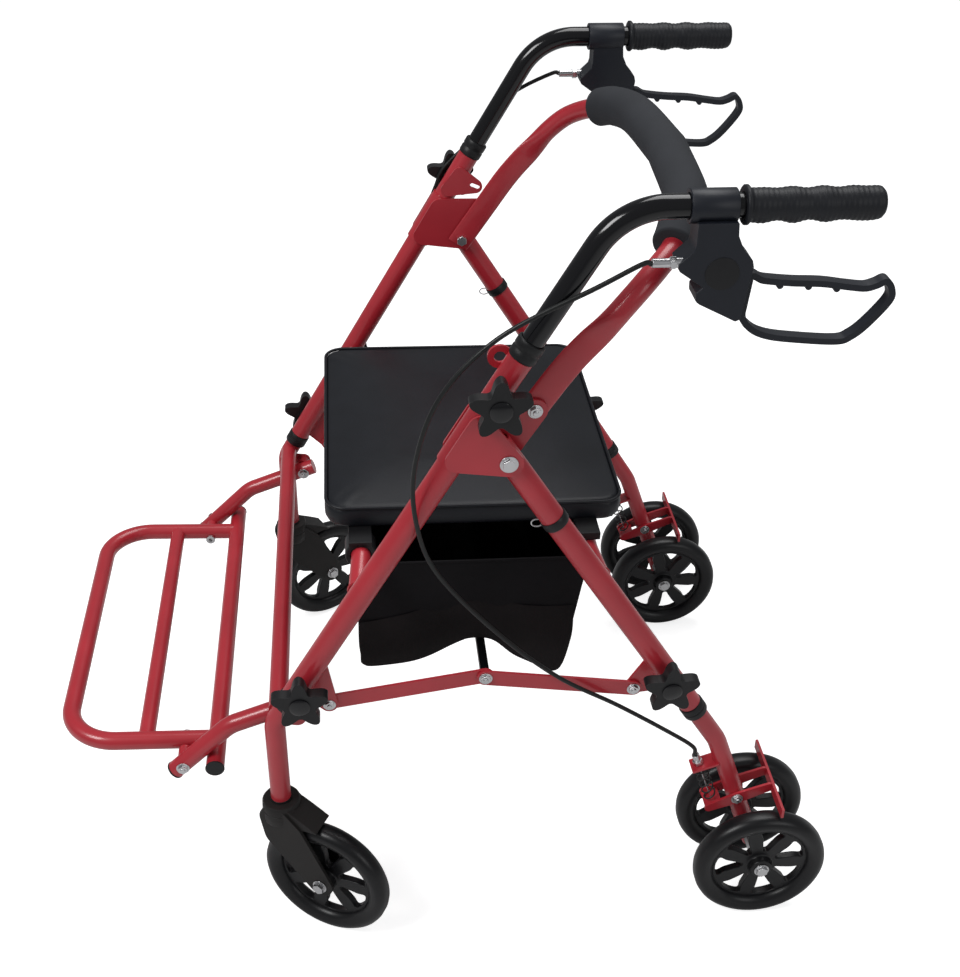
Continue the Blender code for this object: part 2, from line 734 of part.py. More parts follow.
def caster(side):
    """A caster: a fork with its stem and axle, and a wheel behind the swivel axis."""
    tag = SIDE_NAMES[side]
    name = "caster_fork_" + tag
    back = Vector((side * math.sin(CASTER_TURN), math.cos(CASTER_TURN), 0.0))
    axis = Vector((back.y, -back.x, 0.0))
    swivel = Vector((side * LEG_X, CASTER_AXIS_Y, 0.0))
    hub = swivel + back * CASTER_TRAIL + Vector((0, 0, WHEEL_R))
    head = cylinder(name, swivel + Vector((0, 0, 0.154)), swivel + Vector((0, 0, FORK_TOP_Z)), 0.019,
                    SIDES, 0.0175)
    stem = cylinder(name + "_stem", swivel + Vector((0, 0, FORK_TOP_Z - 0.004)),
                    swivel + Vector((0, 0, FORK_TOP_Z + STEM_LENGTH)), STEM_R, SMALL_SIDES)
    shape = wrapped([(Vector((-0.004, 0.164)), 0.0115), (Vector((0.008, 0.160)), 0.0120),
                     (Vector((CASTER_TRAIL, WHEEL_R)), 0.0115)])
    flat = Matrix(((back.x, 0, axis.x, 0), (back.y, 0, axis.y, 0), (0, 1, 0, 0), (0, 0, 0, 1)))
    join(head, stem)
    for sign in (1, -1):
        spot = Matrix.Translation(swivel + axis * sign * FORK_CHEEK_OFFSET)
        join(head, outline(f"{name}_cheek_{sign}", [shape], spot @ flat, FORK_CHEEK))
    reach = FORK_CHEEK_OFFSET + FORK_CHEEK / 2
    axle = cylinder(name + "_axle", hub - axis * (reach + 0.0025), hub + axis * (reach + 0.0025), AXLE_R, SMALL_SIDES)
    join(head, axle)
    for sign in (1, -1):
        start, end = reach - 0.001, reach + 0.006
        join(head, cylinder(f"{name}_nut_{sign}", hub + axis * sign * start, hub + axis * sign * end, 0.0075, SMALL_SIDES))
    finish(head, material("fork_plastic", (0.035, 0.030, 0.028), 0.6))
    made = wheel("caster_wheel_" + tag, hub, axis, CASTER_WHEEL_WIDTH)
    hang(pivot_empty(name + "_swivel", swivel + Vector((0, 0, FORK_TOP_Z))), head)
    hang(pivot_empty("caster_wheel_" + tag + "_axis", hub), made)


def spreader_front():
    """The two front struts with the cross rod between them."""
    name = "spreader_front"
    rod = tube(name, [at(LEFT, FRONT_LINK_X, SPREAD_C), at(RIGHT, FRONT_LINK_X, SPREAD_C)], CROSS_ROD_R, SMALL_SIDES)
    for side in (LEFT, RIGHT):
        tag = f"{name}_{SIDE_NAMES[side]}"
        loop = wrapped([(SPREAD_A, LINK_HALF_WIDTH), (SPREAD_C, LINK_HALF_WIDTH)])
        bar = plate(tag, loop, side * FRONT_LINK_X, LINK_THICKNESS)
        x_in = FRONT_LINK_X - LINK_THICKNESS / 2
        rivet = across(tag + "_rivet", side, SPREAD_A, x_in - 0.003, x_in + 0.001, 0.006, SMALL_SIDES)
        join(rod, bar, rivet)
    finish(rod, red_paint())
    hang(pivot_empty(name + "_axis", at(LEFT, 0, SPREAD_A)), rod)


def rear_link(side):
    """A rear strut with the nut of the middle pivot."""
    name = "rear_link_" + SIDE_NAMES[side]
    loop = wrapped([(SPREAD_B, LINK_HALF_WIDTH), (SPREAD_C, LINK_HALF_WIDTH)])
    bar = plate(name, loop, side * REAR_LINK_X, LINK_THICKNESS)
    face = REAR_LINK_X + LINK_THICKNESS / 2
    for label, spot in (("b", SPREAD_B), ("c", SPREAD_C)):
        join(bar, across(f"{name}_nut_{label}", side, spot, face - 0.001, face + 0.004, 0.0065, 6))
    return finish(bar, red_paint())


def seat_board():
    """The seat's board with two hinge rings at the front and two rests over the rear tube."""
    name = "seat_board"
    tilt = seat_tilt()
    board = box(name, (-SEAT_HALF_WIDTH + 0.004, SEAT_FRONT_Y + 0.004, BOARD_BOTTOM_Z),
                (SEAT_HALF_WIDTH - 0.004, SEAT_REAR_Y - 0.004, BOARD_BOTTOM_Z + BOARD_THICKNESS))
    board.data.transform(tilt)
    inner_x, outer_x = CLAMP_X - CLAMP_LENGTH / 2, CLAMP_X + CLAMP_LENGTH / 2
    arm_x = SEAT_HALF_WIDTH - 0.020
    top = BOARD_BOTTOM_Z + 0.004
    for side in (LEFT, RIGHT):
        tag = f"{name}_front_{SIDE_NAMES[side]}"
        spot = FRONT_SEAT_TUBE
        ring = across(tag, side, spot, inner_x, outer_x, CLAMP_R)
        arm = box(tag + "_arm", (side * arm_x, spot.x - REST_HALF_DEPTH, BOARD_BOTTOM_Z - 0.003),
                  (side * outer_x, spot.x + REST_HALF_DEPTH, top))
        join(ring, arm)
        cut(ring, across(tag + "_bore", side, spot, inner_x - 0.01, outer_x + 0.01, loose(SEAT_TUBE_R)))
        spot = REAR_SEAT_TUBE
        rest = box(f"{name}_rear_{SIDE_NAMES[side]}",
                   (side * arm_x, spot.x - REST_HALF_DEPTH, spot.y + SEAT_TUBE_R + GAP),
                   (side * outer_x, spot.x + REST_HALF_DEPTH, top))
        join(board, ring, rest)
    return finish(board, black_plastic())


def seat_tilt():
    """The seat's slight fall to the rear, about its middle."""
    middle = Vector((0, (SEAT_FRONT_Y + SEAT_REAR_Y) / 2, BOARD_BOTTOM_Z))
    return Matrix.Translation(middle) @ Matrix.Rotation(-SEAT_TILT, 4, "X") @ Matrix.Translation(-middle)


def seat_cushion():
    """The padded seat, crowned on top, with sides drawn in between its corners."""
    mesh = bpy.data.meshes.new("seat_cushion")
    work = bmesh.new()
    bmesh.ops.create_grid(work, x_segments=6, y_segments=6, size=1.0)
    low = BOARD_BOTTOM_Z + BOARD_THICKNESS + GAP
    base = list(work.faces)
    lifted = bmesh.ops.extrude_face_region(work, geom=base)
    top = {v for v in lifted["geom"] if isinstance(v, bmesh.types.BMVert)}
    length = (SEAT_REAR_Y - SEAT_FRONT_Y) / 2
    middle = (SEAT_FRONT_Y + SEAT_REAR_Y) / 2
    for vert in work.verts:
        u, v = vert.co.x, vert.co.y
        width = SEAT_HALF_WIDTH - 0.005 * (1 - v * v) * u * u
        depth = length - 0.005 * (1 - u * u) * v * v
        crown = 0.0035 * (1 - u ** 4) * (1 - v ** 4)
        z = CUSHION_TOP_Z - 0.002 + crown if vert in top else low
        vert.co = Vector((u * width, middle + v * depth, z))
    bmesh.ops.recalc_face_normals(work, faces=work.faces)
    work.to_mesh(mesh)
    work.free()
    cushion = link(bpy.data.objects.new("seat_cushion", mesh))
    mesh.transform(seat_tilt())
    soften = cushion.modifiers.new("edge", "BEVEL")
    soften.width = 0.006
    soften.segments = 2
    soften.limit_method = "ANGLE"
    soften.angle_limit = math.radians(50)
    return finish(cushion, material("vinyl", (0.020, 0.022, 0.027), 0.45))


def footrest():
    """The footrest loop: two rails with a round front, a middle bar and a stop bar."""
    name = "footrest_platform"
    rear = FOOT_REAR_BAR + Vector((-0.004, 0.0))
    route = [at(LEFT, FOOT_RAIL_X, rear), at(LEFT, FOOT_RAIL_X, FOOT_FRONT),
             at(RIGHT, FOOT_RAIL_X, FOOT_FRONT), at(RIGHT, FOOT_RAIL_X, rear)]
    loop = tube(name, rounded_path(route, FOOT_CORNER_R, 6), FOOT_TUBE_R)
    share = (FOOT_MID_Y - rear.x) / (FOOT_FRONT.x - rear.x)
    middle = mixed(rear, FOOT_FRONT, share)
    bar = tube(name + "_middle", [at(LEFT, FOOT_RAIL_X, middle), at(RIGHT, FOOT_RAIL_X, middle)], 0.009)
    stop = tube(name + "_stop", [at(LEFT, 0.245, FOOT_REAR_BAR), at(RIGHT, 0.245, FOOT_REAR_BAR)], FOOT_TUBE_R)
    join(loop, bar, stop)
    for side in (LEFT, RIGHT):
        tag = f"{name}_{SIDE_NAMES[side]}"
        cut(loop, across(tag + "_hole", side, FOOT_PIVOT, FOOT_RAIL_X - 0.02, FOOT_RAIL_X + 0.02,
                         loose(BOLT_R, SMALL_SIDES), SMALL_SIDES))
    finish(loop, red_paint())
    hang(pivot_empty(name + "_axis", at(LEFT, 0, FOOT_PIVOT)), loop)


def hanger(side):
    """The bent arm that carries the footrest, with the pivot bolt and its spacer."""
    name = "hanger_" + SIDE_NAMES[side]
    route = [at(side, HANGER_X, p) for p in (HANGER_FRONT, HANGER_BEND, HANGER_REAR)]
    arm = tube(name, rounded_path(route, 0.04, 4), FOOT_TUBE_R)
    inner = FOOT_RAIL_X - FOOT_TUBE_R - GAP
    outer = FOOT_RAIL_X + FOOT_TUBE_R + GAP
    spacer = across(name + "_spacer", side, FOOT_PIVOT, outer, HANGER_X, 0.007, SMALL_SIDES)
    bolt = across(name + "_bolt", side, FOOT_PIVOT, inner - 0.002, HANGER_X + 0.012, BOLT_R, SMALL_SIDES)
    head = across(name + "_head", side, FOOT_PIVOT, inner - 0.004, inner, 0.006, SMALL_SIDES)
    return finish(join(arm, spacer, bolt, head), red_paint())


def handle(side):
    """A handle: the bent tube, the grip and the brake housing."""
    tag = SIDE_NAMES[side]
    route = [at(side, LEG_X, p) for p in (on_front(HANDLE_INSIDE), HANDLE_CORNER,
                                          Vector((HANDLE_END_Y, HANDLE_CORNER.y)))]
    pole = finish(tube("handle_tube_" + tag, rounded_path(route, HANDLE_BEND_R, 7), HANDLE_R),
                  material("black_gloss", (0.012, 0.012, 0.014), 0.15))
    lever_axis = pivot_empty("brake_lever_" + tag + "_axis", at(side, LEG_X, LEVER_PIVOT))
    hang(lever_axis, lever(side))
    return [pole, grip(side), housing(side)]


def grip(side):
    """The rubber grip with finger ridges, a flange and a closed end."""
    start = at(side, LEG_X, (GRIP_FROM_Y, HANDLE_CORNER.y))
    end = at(side, LEG_X, (GRIP_TO_Y, HANDLE_CORNER.y))
    length = GRIP_TO_Y - GRIP_FROM_Y
    inside = loose(HANDLE_R)
    depth = HANDLE_END_Y - GRIP_FROM_Y + GAP
    outer = [(0.0170, 0.0), (0.0170, 0.004), (0.0138, 0.007)]
    for step in range(4):
        outer += [(0.0150, 0.016 + step * 0.024), (0.0136, 0.028 + step * 0.024)]
    outer += [(0.0148, length - 0.006), (0.0120, length - 0.001), (0.0, length)]
    profile = [(0.0, depth), (inside, depth), (inside, 0.0), *outer]
    mesh = bpy.data.meshes.new("grip_" + SIDE_NAMES[side])
    work = bmesh.new()
    points = [work.verts.new((radius, 0.0, height)) for radius, height in profile]
    for first, second in zip(points, points[1:]):
        work.edges.new((first, second))
    work.to_mesh(mesh)
    work.free()
    item = link(bpy.data.objects.new(mesh.name, mesh))
    item.matrix_world = facing(start, end)
    spin = item.modifiers.new("turn", "SCREW")
    spin.steps = SIDES
    spin.render_steps = SIDES
    spin.use_merge_vertices = True
    spin.merge_threshold = 0.00001
    spin.use_normal_calculate = True
    bpy.context.view_layer.update()
    return finish(meshed(item), material("grip_rubber", (0.018, 0.018, 0.020), 0.55))


def housing(side):
    """The brake housing clamped on the handle, with the cable barrel."""
    name = "brake_housing_" + SIDE_NAMES[side]
    top = HANDLE_CORNER.y
    shape = [Vector(p) for p in ((0.208, 0.836), (0.243, 0.836), (0.249, 0.814), (0.259, 0.802),
                                 (0.260, 0.797), (0.255, 0.748), (0.214, 0.767), (0.213, 0.780),
                                 (0.194, 0.795), (0.193, 0.802), (0.203, 0.818))]
    middle = (HOUSING_INNER_X + HOUSING_OUTER_X) / 2
    body = plate(name, shape, side * middle, HOUSING_OUTER_X - HOUSING_INNER_X)
    soften = body.modifiers.new("edge", "BEVEL")
    soften.width = 0.0025
    soften.segments = 1
    soften.limit_method = "ANGLE"
    soften.angle_limit = math.radians(40)
    clamp = cylinder(name + "_clamp", at(side, LEG_X, (0.201, top)), at(side, LEG_X, (0.243, top)), 0.015)
    barrel = cylinder(name + "_barrel", at(side, BARREL_X, (BARREL_FROM_Y, BARREL_Z)),
                      at(side, BARREL_X, (0.197, BARREL_Z)), BARREL_R, SMALL_SIDES)
    join(body, clamp, barrel)
    bore = cylinder(name + "_bore", at(side, LEG_X, (0.19, top)), at(side, LEG_X, (0.27, top)), loose(HANDLE_R))
    slot = box(name + "_slot", (side * (LEG_X - LEVER_WIDTH / 2 - GAP), 0.229, 0.735),
               (side * (LEG_X + LEVER_WIDTH / 2 + GAP), 0.27, 0.8005))
    cut(body, bore, slot)
    pin = across(name + "_pin", side, LEVER_PIVOT, HOUSING_INNER_X + 0.002, HOUSING_OUTER_X - 0.004, BOLT_R, SMALL_SIDES)
    join(body, pin)
    return finish(body, material("housing_plastic", (0.025, 0.028, 0.034), 0.45))


def smooth_loop(points, count):
    """A closed smooth curve through points."""
    total = len(points)
    made = []
    for index in range(total):
        a, b, c, d = (points[(index + k) % total] for k in (-1, 0, 1, 2))
        for step in range(count):
            t = step / count
            made.append(0.5 * ((2 * b) + (c - a) * t + (2 * a - 5 * b + 4 * c - d) * t * t
                               + (3 * b - a - 3 * c + d) * t ** 3))
    return made


def offset_loop(points, distance):
    """The loop moved sideways by a distance."""
    total = len(points)
    made = []
    for index, point in enumerate(points):
        run = (points[(index + 1) % total] - points[index - 1]).normalized()
        made.append(point + Vector((run.y, -run.x)) * distance)
    return made


def lever(side):
    """The brake lever: a closed loop to pull, on a hub inside the housing."""
    name = "brake_lever_" + SIDE_NAMES[side]
    line = [Vector(p) for p in ((0.262, 0.782), (0.275, 0.779), (0.301, 0.776), (0.328, 0.7745),
                                (0.351, 0.771), (0.368, 0.769), (0.378, 0.7715), (0.3865, 0.7750),
                                (0.3925, 0.7665), (0.3920, 0.7555), (0.3760, 0.7335), (0.3630, 0.7215),
                                (0.3500, 0.7170), (0.3130, 0.7200), (0.2850, 0.7245), (0.2680, 0.7330), (0.2590, 0.7480))]
    loop = smooth_loop(line, 2)
    band = outline(name, [offset_loop(loop, 0.003), offset_loop(loop, -0.003)],
                   Matrix.Translation((side * LEG_X, 0, 0)) @ SIDE_PLANE, LEVER_WIDTH)
    root = plate(name + "_root", wrapped([(LEVER_PIVOT, 0.008), (Vector((0.261, 0.780)), 0.004),
                                          (Vector((0.258, 0.746)), 0.004)]), side * LEG_X, LEVER_WIDTH)
    join(band, root)
    cut(band, across(name + "_hole", side, LEVER_PIVOT, LEG_X - 0.01, LEG_X + 0.01,
                     loose(BOLT_R, SMALL_SIDES), SMALL_SIDES))
    return finish(band, material("housing_plastic", (0.025, 0.028, 0.034), 0.45))


def brake_arm(side):
    """The brake arm: two plates astride the insert, a spring seat and the tab over the tyres."""
    name = "brake_arm_" + SIDE_NAMES[side]
    front = on_insert(BRAKE_ALONG + 0.0015, 0.033)
    rear = Vector((TAB_Y - 0.004, TAB_Z + 0.007))
    spine = [(front, 0.005), (on_insert(BRAKE_ALONG), 0.0075), (rear, 0.0055)]
    arm = plate(name, wrapped(spine), side * (LEG_X + BRAKE_PLATE_OFFSET), BRAKE_PLATE)
    inner = plate(name + "_inner", wrapped(spine), side * (LEG_X - BRAKE_PLATE_OFFSET), BRAKE_PLATE)
    tab = box(name + "_tab", (side * 0.205, TAB_Y - 0.0015, TAB_Z), (side * 0.315, TAB_Y + 0.0015, TAB_Z + TAB_HEIGHT))
    seat_loop = [on_insert(BRAKE_ALONG, 0.0175), on_insert(BRAKE_ALONG, 0.037),
                 on_insert(BRAKE_ALONG + 0.003, 0.037), on_insert(BRAKE_ALONG + 0.003, 0.0175)]
    seat = plate(name + "_seat", seat_loop, side * LEG_X, 2 * BRAKE_PLATE_OFFSET)
    bolt = across(name + "_bolt", side, on_insert(BRAKE_ALONG), LEG_X - 0.0165, LEG_X + 0.0165, BOLT_R, SMALL_SIDES)
    wire = cylinder(name + "_wire", at(side, LEG_X, on_insert(BRACKET_ALONG + 0.0065, BRAKE_OFFSET)),
                    at(side, LEG_X, on_insert(BRAKE_ALONG + 0.009, BRAKE_OFFSET)), 0.0016, 8)
    fitting = cylinder(name + "_fitting", at(side, LEG_X, on_insert(BRAKE_ALONG + 0.002, BRAKE_OFFSET)),
                       at(side, LEG_X, on_insert(BRAKE_ALONG + 0.010, BRAKE_OFFSET)), 0.0038, SMALL_SIDES)
    join(arm, seat, inner, tab, bolt, wire, fitting)
    finish(arm, red_paint())
    hang(pivot_empty(name + "_axis", at(side, LEG_X, on_insert(BRAKE_ALONG))), arm)


def brake_spring(side):
    """The brake's return spring, one wire wound from its bracket to the arm."""
    name = "brake_spring_" + SIDE_NAMES[side]
    low = BRACKET_ALONG + 0.003 + GAP + SPRING_WIRE_R
    high = BRAKE_ALONG - GAP - SPRING_WIRE_R
    place = facing(at(side, LEG_X, on_insert(low, BRAKE_OFFSET)), at(side, LEG_X, on_insert(high, BRAKE_OFFSET)))
    total = SPRING_TURNS * SPRING_POINTS
    route = []
    for index in range(total + 1):
        angle = math.tau * index / SPRING_POINTS
        height = (high - low) * index / total
        route.append(place @ Vector((SPRING_R * math.cos(angle), SPRING_R * math.sin(angle), height)))
    print(name, "least gap between turns, mm:", round(least_gap(route, SPRING_POINTS, SPRING_WIRE_R) * 1000, 2))
    return finish(tube(name, route, SPRING_WIRE_R, 6), material("spring_black", (0.02, 0.02, 0.02), 0.4, 0.6))


def least_gap(route, per_turn, wire_radius):
    """The least clear distance between a wire's turns, over points at least half a turn apart."""
    distances = [(first - second).length for index, first in enumerate(route)
                 for second in route[index + per_turn // 2:]]
    return min(distances) - 2 * wire_radius


def cable_route(side):
    """The brake cable's route from the housing's barrel to the ferrule at the rear wheel."""
    end = at(side, LEG_X, on_insert(0.0137, BRAKE_OFFSET))
    lead = at(side, LEG_X, on_insert(0.0, BRAKE_OFFSET))
    start = BARREL_FROM_Y - GAP
    bowed = [(0.277, 0.127, 0.782), (0.2795, 0.042, 0.737), (0.2805, -0.010, 0.679), (0.2800, -0.033, 0.606),
             (0.2795, -0.031, 0.539), (0.2775, -0.010, 0.479), (0.274, 0.050, 0.400)]
    close = [(0.2765, 0.1263, 0.783), (0.2785, 0.0905, 0.757), (0.2798, 0.0660, 0.7175), (0.2802, 0.0440, 0.6945),
             (0.2803, 0.0315, 0.679), (0.2803, 0.0240, 0.659), (0.2805, 0.0020, 0.6040), (0.2803, -0.0290, 0.5500),
             (0.2795, -0.0560, 0.4990), (0.2790, -0.0700, 0.4540), (0.2780, -0.0550, 0.4200), (0.2760, 0.0050, 0.3920)]
    named = [(BARREL_X, start, BARREL_Z), (BARREL_X, start - 0.008, BARREL_Z),
             *(bowed if side == LEFT else close),
             (0.271, 0.114, 0.336), (0.268, 0.181, 0.289), (0.264, 0.240, 0.243)]
    return [Vector((side * x, y, z)) for x, y, z in named] + [lead, end]


def smooth_line(points, spacing):
    """Evenly spaced points on a smooth curve through the given ones."""
    ends = [2 * points[0] - points[1], *points, 2 * points[-1] - points[-2]]
    made = []
    for a, b, c, d in zip(ends, ends[1:], ends[2:], ends[3:]):
        count = max(1, round((c - b).length / spacing))
        for step in range(count):
            t = step / count
            made.append(0.5 * ((2 * b) + (c - a) * t + (2 * a - 5 * b + 4 * c - d) * t * t
                               + (3 * b - a - 3 * c + d) * t ** 3))
    made.append(points[-1])
    return made


def brake_cable(side):
    """The sheathed cable of one brake."""
    route = smooth_line(cable_route(side), CABLE_R * 8)
    return finish(tube("brake_cable_" + SIDE_NAMES[side], route, CABLE_R, 6),
                  material("cable_sheath", (0.03, 0.03, 0.035), 0.45))


def bag():
    """The bag under the seat: an open-topped tub whose floor rests on the cross rod."""
    rod_top = SPREAD_C.y + CROSS_ROD_R + GAP
    rim_front = FRONT_SEAT_TUBE.y - SEAT_TUBE_R - GAP
    rim_rear = REAR_SEAT_TUBE.y - SEAT_TUBE_R - GAP
    open_top = rim_front + 0.03
    outer = [Vector(p) for p in ((-0.087, rim_front), (-0.092, 0.315), (-0.080, 0.303), (-0.040, 0.308),
                                 (0.0275, rod_top), (0.0515, rod_top), (0.090, 0.300), (0.118, 0.284), (0.130, 0.292),
                                 (0.153, rim_rear))]
    inner = [Vector(p) for p in ((-0.083, open_top), (-0.090, 0.316), (-0.079, 0.305), (-0.041, 0.3105),
                                 (0.0275, rod_top + BAG_WALL), (0.0515, rod_top + BAG_WALL), (0.0905, 0.3025), (0.118, 0.2865),
                                 (0.128, 0.2935), (0.149, open_top))]
    shell = plate("bag", outer, 0.0, 2 * BAG_HALF_WIDTH)
    hollow = plate("bag_hollow", inner, 0.0, 2 * (BAG_HALF_WIDTH - BAG_WALL))
    cut(shell, hollow)
    for side in (LEFT, RIGHT):
        for label, spot in (("front", FRONT_SEAT_TUBE), ("rear", REAR_SEAT_TUBE)):
            tag = f"bag_notch_{label}_{SIDE_NAMES[side]}"
            cut(shell, across(tag, side, spot, CLAMP_X - 0.0145, CLAMP_X + 0.017, CLAMP_R + 0.0015))
    return finish(shell, material("nylon", (0.018, 0.018, 0.020), 0.8))


def frame_pieces(side):
    """The fixed and folding pieces of one side."""
    front_leg(side)
    front_collars(side)
    hanger(side)
    pivot_pin(side)
    brake_cable(side)
    rear_wheels(side)
    caster(side)
    brake_arm(side)
    handle(side)
    return [rear_leg(side), rear_collar(side), rear_insert(side), brake_spring(side)]


def build():
    """Make every piece of the chair."""
    clear_scene()
    fold = pivot_empty("rear_fold_axis", at(LEFT, 0, PIVOT))
    for side in (LEFT, RIGHT):
        hang(fold, *frame_pieces(side))
        tag = SIDE_NAMES[side]
        knob("upper_knob_" + tag, side, UPPER_KNOB)
        knob("front_knob_" + tag, side, FRONT_KNOB)
        knob("rear_knob_" + tag, side, REAR_KNOB)
    seat_tube("front_cross_tube", FRONT_SEAT_TUBE, FRONT_SEAT_TUBE_END, on_front(0), on_front(FRONT_LENGTH))
    hang(fold, seat_tube("rear_cross_tube", REAR_SEAT_TUBE, REAR_SEAT_TUBE_END, on_rear(0),
                         on_rear(REAR_TUBE_LENGTH)))
    front_lower_frame()
    backrest_bar()
    backrest_foam()
    spreader_front()
    hang(pivot_empty("spreader_rear_axis", at(LEFT, 0, SPREAD_B)), rear_link(LEFT), rear_link(RIGHT))
    hang(pivot_empty("seat_axis", at(LEFT, 0, FRONT_SEAT_TUBE)), seat_board(), seat_cushion())
    footrest()
    bag()


build()
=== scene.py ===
"""Looks of the rollator wheelchair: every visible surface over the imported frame.

Metres, +Z up, front towards -Y, left side at +X. Side views are written as (y, z).
"""

from __future__ import annotations

import json
import logging
import math
from dataclasses import dataclass
from enum import Enum
from typing import Callable, Iterable, Sequence

